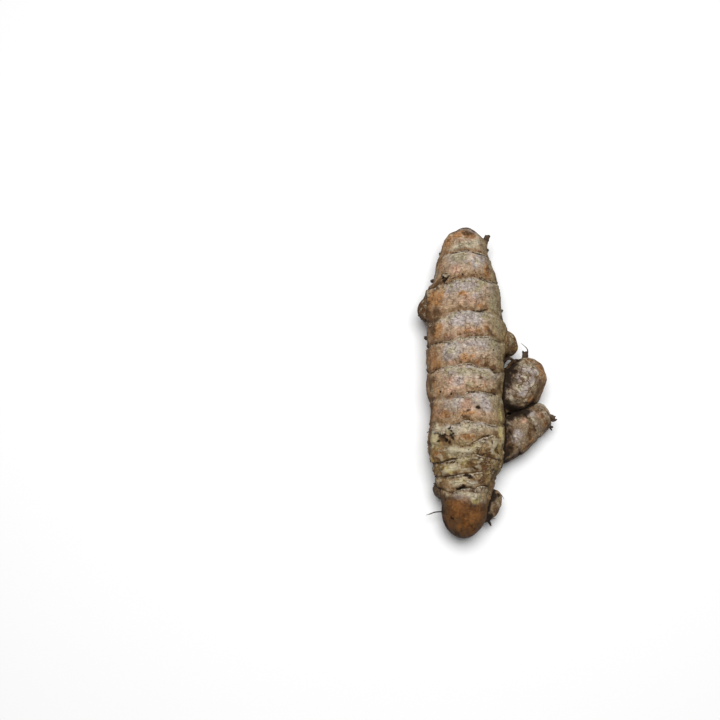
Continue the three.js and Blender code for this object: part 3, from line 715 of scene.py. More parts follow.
# %% [markdown]
# ## Pressing the marks in
# A mark becomes a mask: a number for every point of the skin, 1 in the mark's middle and fading to 0.
# The same mask can dent the mesh, raise it or tint it. Noise is added to the distance before it fades,
# so no mark has a clean edge.

# %% How a mark spreads over the skin
SPREAD_FALL = 1.1  # how steeply a mark fades towards its reach
RAG_ON_BODY = 0.35
RAG_IN_SPACE = 0.3

body = STEMS["body"]
body_along, body_turn = measured["body"][:2]
body_radius = plain_radius(body, body_along)
ragged = 0.5 * grain(plain, 1.6, 4) + 0.3 * grain(plain, 0.7, 5)


def offsets(along, degrees):
    """Millimetres along and round the body from a place on it, for every point."""
    swing = body_turn - math.radians(degrees)
    return body_along - along, body_radius * np.arctan2(np.sin(swing), np.cos(swing))


def spread(away):
    return np.exp(-SPREAD_FALL * np.clip(away, 0, None) ** 2)


def spot(along, degrees, half_length, half_width):
    """The mask of an oval on the body."""
    ahead, aside = offsets(along, degrees)
    return spread(np.hypot(ahead / half_length, aside / half_width) + RAG_ON_BODY * ragged)


def ball(place, reach):
    """The mask of a ball in space."""
    return spread(np.linalg.norm(plain - place, axis=1) / reach + RAG_IN_SPACE * ragged)


print("noise that frays the marks: %.2f to %.2f" % (ragged.min(), ragged.max()))

# %% Masks of colour
BROWN_BUD = 0.9  # the left bud is brown all over, darkened further as painted shade
SOIL_AND_SHADE_ON_RIGHT = 0.5  # the body's right flank takes less of the soil and painted shade than the fingers beside it

masks = {kind: np.zeros(len(plain)) for kind in [*STAINS, "soil"]}


def lay(kind, mask):
    masks[kind] = np.maximum(masks[kind], mask)


for kind, places in STAINS.items():
    for *place, strength in places:
        lay(kind, strength * spot(*place) * share_of["body"])
lay("brown", BROWN_BUD * share_of["left_bud"])
for kind, places in SPOTS.items():
    for place, reach, strength in places:
        lay(kind, strength * ball(place, reach))
masks["soil"] *= np.where(on_body & (plain[:, 0] > 0), SOIL_AND_SHADE_ON_RIGHT, 1)
print("points under each colour:", {kind: int((mask > 0.5).sum()) for kind, mask in masks.items()})

# %% Pits and round scars
PIT_SQUEEZE = 1.25  # pits are a little shorter along the stem than round it
PIT_EDGE = 0.15  # how far the black goes over a pit's edge
BLACK_PIT = 0.4  # a pit of this radius is black inside, and a smaller one is paler
SCAR_SQUEEZE = 1.15
SCAR_RIM = 0.38
SCAR_HEART = 0.5
SCAR_MOAT_AT, SCAR_MOAT = 0.55, 0.4
SCAR_SHADE_OUTSIDE, SCAR_SHADE = 0.5, 0.3

# The dark insides of pits and cracks, and a ring round each scar, become soil and painted shade in the
# skin's colour.
marks = np.zeros(len(plain))
dark = np.zeros(len(plain))
bent = 0.9 * grain(plain, 3, 14) + 0.5 * ragged
torn_one = 0.55 * grain(plain, 0.9, 16)
torn_other = 0.55 * grain(plain, 0.9, 17)
for along, degrees, radius, depth in PITS:
    ahead, aside = offsets(along, degrees)
    away = np.hypot(PIT_SQUEEZE * ahead + torn_one, aside + torn_other)
    marks -= depth * hill(away, radius)
    blackness = min(1, radius / BLACK_PIT) ** 2
    dark = np.maximum(dark, blackness * np.exp(-((away / (radius + PIT_EDGE)) ** 3)))
for along, degrees, radius, height in BUD_SCARS:
    ahead, aside = offsets(along, degrees)
    away = np.hypot(ahead * SCAR_SQUEEZE + 0.5 * bent, aside + 0.6 * torn_one)
    marks += height * hill(away - radius, SCAR_RIM) + 0.5 * height * hill(away, SCAR_HEART)
    marks -= height * hill(away - SCAR_MOAT_AT * radius, SCAR_MOAT)
    dark = np.maximum(dark, 0.5 * hill(away - radius - SCAR_SHADE_OUTSIDE, SCAR_SHADE))
print("pits and scars from %.2f to %.2f mm" % (marks.min(), marks.max()))

# %% Cracks, bumps and swellings
CRACK_WIDTH = 0.4
CRACK_DARK_WIDTH = 0.34
CRACK_LIP_AT, CRACK_LIP_WIDTH = 0.8, 0.5

broken = np.clip(0.75 + 1.6 * grain(plain, 1.8, 15), 0.1, 1)
for along, degrees, to_along, to_degrees, depth in CRACKS:
    ahead, aside = offsets((along + to_along) / 2, (degrees + to_degrees) / 2)
    run = to_along - along
    sweep = math.radians(to_degrees - degrees) * body_radius
    length = np.hypot(run, sweep)
    down = (ahead * run + aside * sweep) / length
    off = (aside * run - ahead * sweep) / length + bent
    fade = np.clip(1.15 - np.abs(down) / (length / 2), 0, 1) ** 0.5 * broken
    marks -= depth * fade * hill(off, CRACK_WIDTH)
    marks += 0.5 * depth * fade * hill(off - CRACK_LIP_AT, CRACK_LIP_WIDTH)
    dark = np.maximum(dark, fade * hill(off, CRACK_DARK_WIDTH))
for *place, height in BUMPS:
    marks += height * spot(*place)
relief += share_of["body"] * marks
for place, reach, height in SWELLS:
    relief += height * hill(np.linalg.norm(plain - place, axis=1), reach)
print("all marks from %.2f to %.2f mm" % (marks.min(), marks.max()))

# %% [markdown]
# ## Flesh under the skin
# Between the rings the skin is never smooth: slow lumps from how it grew, crosswise wrinkles from how it
# dried. Both are noise, but the wrinkles are noise in the stem's own measure, squeezed along it, so they
# run round the root as real ones do. The near third is older and knobblier, the end smoother.

# %% Lumps and wrinkles
KNOBBLY_MIDDLE = 83
KNOBBLY_REACH = 9
TIP_START = 94
TIP_SHARPNESS = 1.2

knobbly = hill(body_along - KNOBBLY_MIDDLE, KNOBBLY_REACH) * share_of["body"]
smooth_tip = 1 / (1 + np.exp(-(body_along - TIP_START) * TIP_SHARPNESS)) * share_of["body"]


def in_own_measure(squeeze):
    """Each point in its own stem's measure, squeezed along the stem by a factor."""
    place = np.zeros_like(plain)
    for name in STEMS:
        along, _, across, over, _ = measured[name]
        mine = owned_by == name
        place[mine] = np.stack([along * squeeze, across, over], -1)[mine]
    return place


# Each grain below: a height in millimetres, times noise in lumps of a size and with a seed of its own.
own_measure = in_own_measure(1)
wrinkled = 1 + 1.2 * knobbly - 0.5 * smooth_tip
slow = wrinkled * 0.3 * grain(plain, 6.5, 6)
relief += slow + wrinkled * 0.22 * grain(plain, 2.8, 7)
relief += wrinkled * 0.11 * grain(in_own_measure(3.4), 2.6, 8)
relief += wrinkled * 0.07 * grain(plain, 1.1, 9)
relief += knobbly * (0.4 * grain(plain, 1.9, 10) + 0.65 * grain(plain, 3.6, 11))
on_finger = np.isin(owned_by, ["ball_finger", "taper_finger"])
relief += np.where(on_finger, 0.12 * grain(plain, 1.5, 12) + 0.2 * grain(plain, 3.4, 13), 0)
relief += filled - 0.4 * crease
fine_rise = relief - slow - filled
print("relief from %.2f to %.2f mm" % (relief.min(), relief.max()))

# %% [markdown]
# The last move is the belly. A root that lies still bears on small worn flats, and the CAD solid is cut
# level there. Pressing every lower point up to that level gives the same flats.

# %% Move the skin and level the belly
FLOOR_LEVEL = 0.5


def move_skin(piece, points):
    piece.data.vertices.foreach_set("co", ((points - ORIGIN) * MM).ravel())
    piece.data.update()


moved = plain + normals_of(root_skin.data) * relief[:, None]
moved[:, 2] = np.maximum(moved[:, 2], FLOOR_LEVEL)
move_skin(root_skin, moved)
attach(root_skin, "root")
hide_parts("rhizome")
print("points on the belly's flats:", int((moved[:, 2] == FLOOR_LEVEL).sum()))

# %% [markdown]
# The material has to know what each point of the skin is. An image would need the skin to be unfolded,
# with seams. A value stored on every point needs none, and the nodes read it by its name.

# %% Values stored on the skin for its material
FAR_FROM_RING = 9  # the distance to a ring is kept only up to this, in millimetres
KNOBBLY_BUD = 0.9  # the right bud is as olive as the body's knobbly stretch
GREYER_STEMS = ("ball_finger", "taper_finger", "left_bud", "near_bud")


def keep(mesh, name, values, kind="FLOAT"):
    """Stores one value for each point of a mesh, for its material to read."""
    layer = mesh.attributes.new(name, kind, "POINT")
    field = "vector" if kind == "FLOAT_VECTOR" else "value"
    layer.data.foreach_set(field, np.asarray(values, np.float32).ravel())


turned = np.take_along_axis(np.stack([measured[name][1] for name in STEMS]), owner[None], 0)[0]
skin_values = {
    "ring_gap": np.clip(gap, -FAR_FROM_RING, FAR_FROM_RING),
    "ring_share": share,
    "ring_depth": ring_depth,
    "crease": crease,
    "dark": dark * share_of["body"],
    "knobbly": np.maximum(knobbly, KNOBBLY_BUD * share_of["right_bud"]),
    "tip": smooth_tip,
    "finger": sum(share_of[name] for name in GREYER_STEMS),
    "ball": share_of["ball_finger"],
    "upper": np.sin(turned),
    "right": np.where(on_body, np.cos(turned), 0),
    "faces_up": normals_of(root_skin.data)[:, 2],
    "rise": fine_rise,
    **masks,
}
keep(root_skin.data, "own_measure", own_measure, "FLOAT_VECTOR")
for name, values in skin_values.items():
    keep(root_skin.data, name, values)
print("values kept:", ", ".join(["own_measure", *skin_values]))

# %% [markdown]
# ## Small helpers for materials
# A node material is a little program. These helpers keep each step on one line: `add` makes a node and
# links or sets its inputs by name, and the others wrap the nodes that are used most.

# %% Helpers that make nodes


def add(tree, kind, settings=None, **inputs):
    node = tree.nodes.new(kind)
    for name, value in (settings or {}).items():
        setattr(node, name, value)
    for name, value in inputs.items():
        plug(tree, node.inputs[name.replace("_", " ")], value)
    return node


def plug(tree, socket, value):
    if isinstance(value, bpy.types.NodeSocket):
        tree.links.new(value, socket)
    else:
        socket.default_value = value


def calc(tree, operation, a, b=None, c=None, clamp=False):
    node = tree.nodes.new("ShaderNodeMath")
    node.operation, node.use_clamp = operation, clamp
    for socket, value in zip(node.inputs, (a, b, c)):
        if value is not None:
            plug(tree, socket, value)
    return node.outputs[0]


def times(tree, a, b):
    return calc(tree, "MULTIPLY", a, b)


def blend(tree, factor, a, b, mode="MIX"):
    node = tree.nodes.new("ShaderNodeMix")
    node.data_type, node.blend_type = "RGBA", mode
    for socket, value in zip((node.inputs[0], node.inputs[6], node.inputs[7]), (factor, a, b)):
        plug(tree, socket, value)
    return node.outputs[2]


def stretch(tree, value, low, high, to_low=0.0, to_high=1.0):
    """A value's range from low to high, eased and laid over another range."""
    node = add(tree, "ShaderNodeMapRange", {"interpolation_type": "SMOOTHSTEP"})
    for socket, number in zip(node.inputs, (value, low, high, to_low, to_high)):
        plug(tree, socket, number)
    return node.outputs[0]


def read(tree, name, output="Fac"):
    return add(tree, "ShaderNodeAttribute", {"attribute_name": name}).outputs[output]


def noise_at(tree, place, size, detail=3.0, roughness=0.55):
    """Noise from 0 to 1 in lumps of about `size` millimetres."""
    node = add(tree, "ShaderNodeTexNoise", Vector=place, Scale=1 / size, Detail=detail, Roughness=roughness)
    return node.outputs["Fac"]


def new_material(name):
    made = bpy.data.materials.new(name)
    made.use_nodes = True
    return made, made.node_tree, made.node_tree.nodes["Principled BSDF"]


def color(r, g, b):
    return (r, g, b, 1)


print("helpers ready")

# %% [markdown]
# ## Effects that several materials share
# Dry skin, snapped roots and papery scales all show two things: a fine mottle, where the surface is
# lighter and darker from one half millimetre to the next, and fibres along the way that they grew. Each
# is a node group, built once, with its sizes as inputs.

# %% Node groups for mottle and fibres


def new_group(name, inputs, outputs):
    tree = bpy.data.node_groups.new(name, "ShaderNodeTree")
    for title, kind, value in inputs:
        socket = tree.interface.new_socket(title, in_out="INPUT", socket_type=kind)
        if value is not None:
            socket.default_value = value
    for title, kind in outputs:
        tree.interface.new_socket(title, in_out="OUTPUT", socket_type=kind)
    return tree, tree.nodes.new("NodeGroupInput").outputs, tree.nodes.new("NodeGroupOutput").inputs


def place_group(tree, group, **inputs):
    return add(tree, "ShaderNodeGroup", {"node_tree": group}, **inputs).outputs


def build_mottle():
    """Lightens and darkens a colour in fine uneven flecks."""
    tree, given, result = new_group(
        "mottle",
        [("Place", "NodeSocketVector", None), ("Color", "NodeSocketColor", color(0.5, 0.5, 0.5)),
         ("Size", "NodeSocketFloat", 0.6), ("Amount", "NodeSocketFloat", 0.5)],
        [("Color", "NodeSocketColor"), ("Height", "NodeSocketFloat")])
    per_size = calc(tree, "DIVIDE", 1.0, given["Size"])
    coarse = add(tree, "ShaderNodeTexNoise", Vector=given["Place"], Scale=per_size, Detail=4.0,
                 Roughness=0.7)
    fine = add(tree, "ShaderNodeTexNoise", Vector=given["Place"], Scale=times(tree, per_size, 3.1),
               Detail=2.0, Roughness=0.6)
    coarse_part = times(tree, coarse.outputs["Fac"], 0.55)
    both = calc(tree, "MULTIPLY_ADD", fine.outputs["Fac"], 0.45, coarse_part)
    swing = times(tree, calc(tree, "SUBTRACT", both, 0.5), given["Amount"])
    light = calc(tree, "MULTIPLY_ADD", swing, 4.0, 1.0)
    shade = add(tree, "ShaderNodeCombineColor", Red=light, Green=light, Blue=light).outputs[0]
    plug(tree, result["Color"], blend(tree, 1.0, given["Color"], shade, "MULTIPLY"))
    plug(tree, result["Height"], both)
    return tree


def build_fibres():
    """Fine streaks across or along a stem: noise squeezed by a different factor each way."""
    tree, given, result = new_group(
        "fibres",
        [("Place", "NodeSocketVector", None), ("Squeeze", "NodeSocketVector", (3, 1, 1)),
         ("Size", "NodeSocketFloat", 1.0)],
        [("Height", "NodeSocketFloat"), ("Mask", "NodeSocketFloat")])
    squeezed = add(tree, "ShaderNodeVectorMath", {"operation": "MULTIPLY"})
    plug(tree, squeezed.inputs[0], given["Place"])
    plug(tree, squeezed.inputs[1], given["Squeeze"])
    per_size = calc(tree, "DIVIDE", 1.0, given["Size"])
    streaks = add(tree, "ShaderNodeTexNoise", Vector=squeezed.outputs[0], Scale=per_size, Detail=4.0,
                  Roughness=0.6, Distortion=0.3)
    from_middle = calc(tree, "ABSOLUTE", calc(tree, "MULTIPLY_ADD", streaks.outputs["Fac"], 4.0, -2.0))
    ridge = calc(tree, "SUBTRACT", 1.0, from_middle, clamp=True)
    plug(tree, result["Height"], streaks.outputs["Fac"])
    plug(tree, result["Mask"], ridge)
    return tree


MOTTLE = build_mottle()
FIBRES = build_fibres()
print("groups:", MOTTLE.name, FIBRES.name)

# %% [markdown]
# ## The skin's colour
# After each ring the young skin is pale grey with a lilac bloom. Towards the next ring it turns pink,
# orange and at last brown, and the crease itself is nearly black; this change is partly painted light
# and shade over each swelling, and the pale lilac on top is partly a painted sheen. The near end is
# olive and yellow, its tip a deep orange. The mesh carries where all that is, and the nodes turn it into
# colour, with noise to fray every edge.

# %% The skin's colours
PALE = color(0.46, 0.40, 0.335)
LILAC = color(0.42, 0.37, 0.35)
GREENISH = color(0.335, 0.29, 0.175)
BEIGE = color(0.45, 0.335, 0.245)
TAN = color(0.36, 0.235, 0.13)
PINK = color(0.48, 0.295, 0.205)
ORANGE = color(0.36, 0.175, 0.065)
RUST = color(0.17, 0.07, 0.02)
BROWN = color(0.085, 0.042, 0.017)
CREAM = color(0.52, 0.465, 0.335)
YELLOW = color(0.43, 0.36, 0.14)
OLIVE = color(0.20, 0.135, 0.042)
STRAW = color(0.24, 0.185, 0.09)
UMBER = color(0.018, 0.011, 0.007)
TIP_ORANGE = color(0.15, 0.052, 0.009)
TIP_BROWN = color(0.04, 0.014, 0.004)
# FLANK_SHADE is painted shade for skin that faces sideways or down.
FLANK_SHADE = color(0.44, 0.35, 0.26)
FLESHY = color(0.93, 0.87, 0.66)
# GREY_FINGER darkens the fingers and two of the buds, partly as painted shade.
GREY_FINGER = color(0.165, 0.12, 0.072)
MARK_TINTS = {"greenish": GREENISH, "yellow": YELLOW, "pale": LILAC, "cream": CREAM, "pink": PINK,
              "orange": ORANGE, "rust": RUST, "brown": BROWN}
print("tints for marks:", ", ".join(MARK_TINTS))

# %% Helpers that lay one colour over another


def ramp(tree, factor, stops):
    node = add(tree, "ShaderNodeValToRGB", Fac=factor)
    while len(node.color_ramp.elements) < len(stops):
        node.color_ramp.elements.new(1.0)
    for element, (at, value) in zip(node.color_ramp.elements, stops):
        element.position, element.color = at, value
    return node.outputs["Color"]


def frayed(tree, mask, kept, low=1.02, high=1.55):
    """A mask of the mesh with a soft edge, frayed by two sizes of noise that are about 0.5."""
    coarse = calc(tree, "MULTIPLY_ADD", kept.blotchy, 0.8, mask)
    return stretch(tree, calc(tree, "MULTIPLY_ADD", kept.fray, 0.95, coarse), low, high)


def masked(tree, mask, strength, hue, tint):
    """Lays a tint over a colour where a mask is."""
    return blend(tree, times(tree, mask, strength), hue, tint)


def warped_plates(tree, place, size, warp_scale, warp_reach):
    """Distance to the edge of uneven plates about `size` millimetres across."""
    warp = add(tree, "ShaderNodeTexNoise", Vector=place, Scale=warp_scale, Detail=3.0).outputs["Color"]
    warped = add(tree, "ShaderNodeVectorMath", {"operation": "MULTIPLY_ADD"})
    for socket, value in zip(warped.inputs, (warp, (warp_reach, warp_reach, warp_reach), place)):
        plug(tree, socket, value)
    plates = add(tree, "ShaderNodeTexVoronoi", {"feature": "DISTANCE_TO_EDGE"}, Vector=warped.outputs[0],
                 Scale=1 / size)
    return plates.outputs["Distance"]


def read_skin(tree):
    """The values stored on the skin, and four sizes of noise that all its colours share."""
    kept = SimpleNamespace(**{name: read(tree, name) for name in skin_values})
    kept.place = read(tree, "own_measure", "Vector")
    kept.patchy = noise_at(tree, kept.place, 5.5, 2.0)
    kept.tone = noise_at(tree, kept.place, 3.7, 3.0, 0.5)
    kept.blotchy = noise_at(tree, kept.place, 2.4, 3.0, 0.6)
    kept.fray = noise_at(tree, kept.place, 0.95, 4.0, 0.65)
    kept.uneven = calc(tree, "SUBTRACT", kept.blotchy, 0.5)
    kept.off_tip = calc(tree, "SUBTRACT", 1.0, kept.tip, clamp=True)
    return kept


skin, tree, skin_shader = new_material("turmeric skin")
kept = read_skin(tree)
print("skin material reads", len(vars(kept)), "fields")

# %% [markdown]
# First the bands: from one ring to the next the colour goes from pale to orange, partly as painted light
# and shade, with patches of three pale tones. Then the flanks, which are browner than the top, partly as
# painted shade: orange on the left, straw on the right. The knobbly stretch and the tip each have a colour
# of their own, and the fingers and two of the buds a darker grey that is partly painted shade.

# %% Colours of the bands, the flanks, the tip and the fingers


def band_colours(tree, kept):
    pale = blend(tree, stretch(tree, kept.tone, 0.46, 0.52), LILAC, PALE)
    pale = blend(tree, stretch(tree, kept.patchy, 0.52, 0.6), pale, GREENISH)
    # The way from pale to orange is partly the skin's colour and partly painted light and shade over each
    # swelling.
    way_on = calc(tree, "MULTIPLY_ADD", kept.uneven, 1.2, kept.ring_share)
    further = ramp(tree, times(tree, way_on, 0.8), [(0.4, BEIGE), (0.75, TAN), (1.0, ORANGE)])
    hue = blend(tree, stretch(tree, way_on, 0.25, 0.5), pale, further)
    return masked(tree, stretch(tree, kept.tone, 0.56, 0.66), 0.6, hue, PINK)


def part_colours(tree, kept, hue):
    left = blend(tree, stretch(tree, kept.blotchy, 0.42, 0.6), TAN, ORANGE)
    flank_hue = blend(tree, stretch(tree, kept.right, -0.3, 0.4), left, STRAW)
    # The browner flanks are partly the skin's own colour and partly painted shade.
    flank = stretch(tree, calc(tree, "MULTIPLY_ADD", kept.uneven, 0.9, kept.upper), 0.98, 0.5)
    hue = masked(tree, flank, 0.92, hue, flank_hue)
    hue = masked(tree, kept.knobbly, 0.75, hue, OLIVE)
    tip_hue = blend(tree, stretch(tree, kept.tone, 0.42, 0.58), TIP_BROWN, TIP_ORANGE)
    hue = masked(tree, kept.tip, 1.0, hue, tip_hue)
    return masked(tree, kept.finger, 0.8, hue, GREY_FINGER)


def mark_colours(tree, kept, hue):
    for name, tint in MARK_TINTS.items():
        hue = masked(tree, frayed(tree, getattr(kept, name), kept), 0.9, hue, tint)
    return blend(tree, times(tree, kept.knobbly, 0.7), hue, FLESHY, "MULTIPLY")


hue = mark_colours(tree, kept, part_colours(tree, kept, band_colours(tree, kept)))
print("nodes so far:", len(tree.nodes))

# %% [markdown]
# Next what dries on every root: blotches, flecks and rusty patches, a net of fine brown wrinkles, and
# cream flakes where the skin lifts. The last ones need only the height over the slow lumps, which the
# mesh carries: high places are paler, and low ones are browner. The ball finger's skin has cracked
# into plates.

# %% Flecks, wrinkles and flakes


def flecks_and_wrinkles(tree, kept, hue):
    """The colour with its flecks, and what the bump needs of them."""
    cloud = place_group(tree, MOTTLE, Place=kept.place, Color=hue, Size=3.4, Amount=0.8)
    flecked = place_group(tree, MOTTLE, Place=kept.place, Color=cloud["Color"], Size=0.9, Amount=0.3)
    rusty = noise_at(tree, kept.place, 1.9, 4.0, 0.65)
    hue = masked(tree, stretch(tree, rusty, 0.56, 0.68), 0.36, flecked["Color"], RUST)
    net = stretch(tree, warped_plates(tree, kept.place, 1.7, 0.75, 1.1), 0.1, 0.0)
    veined = times(tree, net, stretch(tree, kept.blotchy, 0.42, 0.62))
    hue = masked(tree, veined, 0.5, hue, BROWN)
    fibres = place_group(tree, FIBRES, Place=kept.place, Squeeze=(4.2, 1.0, 1.0), Size=2.2)
    hue = masked(tree, calc(tree, "POWER", fibres["Mask"], 4.0), 0.5, hue, BROWN)
    return hue, flecked["Height"], fibres["Height"], veined


def flakes(tree, kept, hue):
    small = noise_at(tree, kept.place, 0.8, 3.0, 0.7)
    flaky = stretch(tree, calc(tree, "MULTIPLY_ADD", kept.patchy, 0.3, small), 0.72, 0.84)
    on_top = times(tree, stretch(tree, kept.upper, 0.4, 0.9), kept.off_tip)
    hue = masked(tree, times(tree, flaky, on_top), 0.5, hue, CREAM)
    uneven_rise = calc(tree, "MULTIPLY_ADD", kept.fray, 0.25, kept.rise)
    hue = masked(tree, stretch(tree, uneven_rise, 0.22, 0.5), 0.4, hue, CREAM)
    hue = masked(tree, stretch(tree, uneven_rise, 0.0, -0.3), 0.55, hue, BROWN)
    drift = noise_at(tree, kept.place, 2.6, 2.0, 0.5)
    return masked(tree, stretch(tree, drift, 0.52, 0.66), 0.26, hue, BROWN)


def torn_paper(tree, kept, hue):
    """Cream rags that lie just after each ring."""
    from_rags = calc(tree, "ABSOLUTE", calc(tree, "SUBTRACT", kept.ring_gap, 0.6))
    rags = times(tree, stretch(tree, from_rags, 1.3, 0.4), stretch(tree, kept.fray, 0.5, 0.6))
    return masked(tree, times(tree, rags, kept.off_tip), 0.42, hue, CREAM)


def crackle(tree, kept, hue):
    edges = stretch(tree, warped_plates(tree, kept.place, 2.4, 0.6, 2.6), 0.11, 0.0)
    cracked = times(tree, edges, stretch(tree, kept.tone, 0.36, 0.56))
    return masked(tree, times(tree, cracked, kept.ball), 0.95, hue, BROWN)


hue, fleck_height, fibre_height, veined = flecks_and_wrinkles(tree, kept, hue)
hue = crackle(tree, kept, torn_paper(tree, kept, flakes(tree, kept, hue)))
print("nodes so far:", len(tree.nodes))

# %% [markdown]
# Last the dirt and the painted shade. A brown band lies before each ring, its crease is a nearly black
# line, dots crowd towards it, and soil with painted shade darkens every deep place and crease. Skin that
# faces sideways or down is tinted darker as painted shade, for the light that its flanks miss.

# %% Ring lines, dots, soil and shade


def ring_lines(tree, kept, hue):
    """The colour with the rings' bands, lines and dots, and the masks of the lines and dots."""
    ragged_edge = times(tree, kept.fray, 0.8)
    from_band = calc(tree, "ABSOLUTE", calc(tree, "ADD", kept.ring_gap, 0.6))
    band = stretch(tree, calc(tree, "ADD", from_band, ragged_edge), 2.0, 0.5)
    patches = stretch(tree, kept.blotchy, 0.35, 0.6, 0.2, 1.0)
    hue = masked(tree, times(tree, band, patches), 0.6, hue, BROWN)
    from_ring = calc(tree, "ABSOLUTE", kept.ring_gap)
    line = stretch(tree, calc(tree, "ADD", from_ring, ragged_edge), 0.76, 0.34)
    line = times(tree, line, stretch(tree, kept.ring_depth, 0.3, 1.2))
    hue = masked(tree, line, 0.8, hue, UMBER)
    dots = add(tree, "ShaderNodeTexVoronoi", Vector=kept.place, Scale=0.8, Randomness=1.0)
    nearness = calc(tree, "MULTIPLY_ADD", kept.patchy, -3.0, from_ring)
    dot_size = stretch(tree, nearness, 2.2, -0.6, 0.0, 0.17)
    inside = calc(tree, "SUBTRACT", dot_size, dots.outputs["Distance"])
    dotted = stretch(tree, inside, -0.03, 0.05)
    return masked(tree, dotted, 0.8, hue, UMBER), line, dotted


# Soil with painted shade: the insides of pits and cracks, the listed soil marks and the creases at the
# stems' feet.
def soil_and_shade_mask(tree, kept):
    deep = stretch(tree, kept.dark, 0.25, 0.8)
    lying = frayed(tree, kept.soil, kept, 1.0, 1.6)
    ragged_edge = calc(tree, "SUBTRACT", kept.fray, 0.5)
    in_crease = stretch(tree, calc(tree, "MULTIPLY_ADD", ragged_edge, 1.1, kept.crease), 0.3, 0.75)
    return calc(tree, "MAXIMUM", calc(tree, "MAXIMUM", deep, lying), in_crease)


def shaded_flanks(tree, kept, hue):
    """Paints shade on what faces sideways or down, but hardly on the ball, which stands out in the light.
    """
    sideways = stretch(tree, kept.faces_up, 0.55, 0.05)
    sideways = times(tree, sideways, calc(tree, "MULTIPLY_ADD", kept.ball, -0.9, 1.0))
    return blend(tree, sideways, hue, FLANK_SHADE, "MULTIPLY")


hue, line, dotted = ring_lines(tree, kept, hue)
soil = soil_and_shade_mask(tree, kept)
hue = shaded_flanks(tree, kept, masked(tree, soil, 0.97, hue, UMBER))
print("nodes so far:", len(tree.nodes))

# %% [markdown]
# Dry skin has next to no gloss. Its bump adds only what is finer than the mesh: fibres and flecks stand
# up a little, and the lines, the dots and the net of wrinkles are sunk.

# %% Colour, gloss and bump of the skin
SKIN_SPECULAR = 0.08
SKIN_BUMP = 0.5  # in millimetres

plug(tree, skin_shader.inputs["Base Color"], hue)
rough = stretch(tree, kept.patchy, 0.3, 0.7, 0.52, 0.7)
plug(tree, skin_shader.inputs["Roughness"], calc(tree, "MULTIPLY_ADD", soil, 0.25, rough))
skin_shader.inputs["Specular IOR Level"].default_value = SKIN_SPECULAR
height = calc(tree, "MULTIPLY_ADD", fibre_height, 0.6, times(tree, fleck_height, 0.45))
sunk = calc(tree, "MAXIMUM", calc(tree, "MAXIMUM", line, dotted), times(tree, veined, 0.6))
height = calc(tree, "SUBTRACT", height, times(tree, sunk, 0.6))
bump = add(tree, "ShaderNodeBump", Height=height, Strength=1.0, Distance=SKIN_BUMP * MM)
plug(tree, skin_shader.inputs["Normal"], bump.outputs["Normal"])
root_skin.data.materials.append(skin)
print("skin material:", len(tree.nodes), "nodes")

# %% [markdown]
# ## Snapped roots and hairs
# Roots grew from the rings and broke off at the harvest. Each left a short woody stub with a flared foot
# and a torn end, and a few thin ones are still whole. They are tubes along a path: a bevelled curve would
# give the same, but with even sides and a flat end. Their feet go under the skin, so no gap shows.

# %% Strands along a path
STUB_FOOT = 1.2  # how deep a foot goes under the skin
SIDES = 10
skin_faces = [list(face.vertices) for face in root_skin.data.polygons]
skin_now = BVHTree.FromPolygons(moved.tolist(), skin_faces)


def rounded_path(path, step):
    """A path through a few points, with its corners cut three times and its points made even."""
    path = np.array(path, float)
    for _ in range(3):
        near, far = 0.75 * path[:-1] + 0.25 * path[1:], 0.25 * path[:-1] + 0.75 * path[1:]
        path = np.concatenate([path[:1], np.stack([near, far], 1).reshape(-1, 3), path[-1:]])
    done = np.concatenate([[0], np.cumsum(np.linalg.norm(np.diff(path, axis=0), axis=1))])
    even = np.linspace(0, done[-1], max(4, round(done[-1] / step) + 1))
    return np.stack([np.interp(even, done, path[:, k]) for k in range(3)], 1), even / done[-1]


def strand(path, radii, draw, step, uneven, torn=0.0):
    """Points and faces of a closed root along a path; radii are given at even shares of its length."""
    path, shares = rounded_path(path, step)
    radii = np.interp(shares, np.linspace(0, 1, len(radii)), radii)
    tangents = np.gradient(path, axis=0)
    tangents /= np.linalg.norm(tangents, axis=1)[:, None]
    side = np.cross([0.3, 0.2, 1], tangents[0])
    turn = np.arange(SIDES) * 2 * math.pi / SIDES
    flutes = 1 + uneven * draw.uniform(-1, 1, SIDES)
    rows = []
    for centre, tangent, radius in zip(path, tangents, radii):
        side = side - tangent * (side @ tangent)
        side = side / np.linalg.norm(side)
        over = np.cross(tangent, side)
        reach = radius * flutes * (1 + 0.5 * uneven * draw.uniform(-1, 1, SIDES))
        rows.append(centre + reach[:, None] * (np.cos(turn)[:, None] * side + np.sin(turn)[:, None] * over))
    rows[-1] = rows[-1] + tangents[-1] * draw.uniform(-torn, torn, SIDES)[:, None]
    points = [path[0], *np.concatenate(rows), path[-1] - 0.5 * torn * tangents[-1]]
    faces = []
    last = 1 + (len(rows) - 1) * SIDES
    for c in range(SIDES):
        d = (c + 1) % SIDES
        faces.append((0, 1 + d, 1 + c))
        for low in range(1, last, SIDES):
            faces.append((low + c, low + d, low + SIDES + d, low + SIDES + c))
        faces.append((last + c, last + d, len(points) - 1))
    return points, faces


def gather(parts):
    """Many closed shapes as one list of points and one of faces, none of it under the floor."""
    points, faces = [], []
    for more_points, more_faces in parts:
        if min(point[2] for point in more_points) < FLOOR_LEVEL:
            continue
        faces += [tuple(len(points) + k for k in face) for face in more_faces]
        points += list(more_points)
    return points, faces


def skin_spot(along, degrees):
    """The place on the finished body at a distance and angle, and the way out of the skin there."""
    turn = math.radians(degrees)
    centre = between_samples(body, body.points, along)
    side = between_samples(body, body.sides, along)
    over = between_samples(body, body.overs, along)
    outwards = Vector(math.cos(turn) * side + math.sin(turn) * over)
    place, way, _, _ = skin_now.ray_cast(Vector(centre), outwards)
    return np.array(place), np.array(way)


print("strands ready")

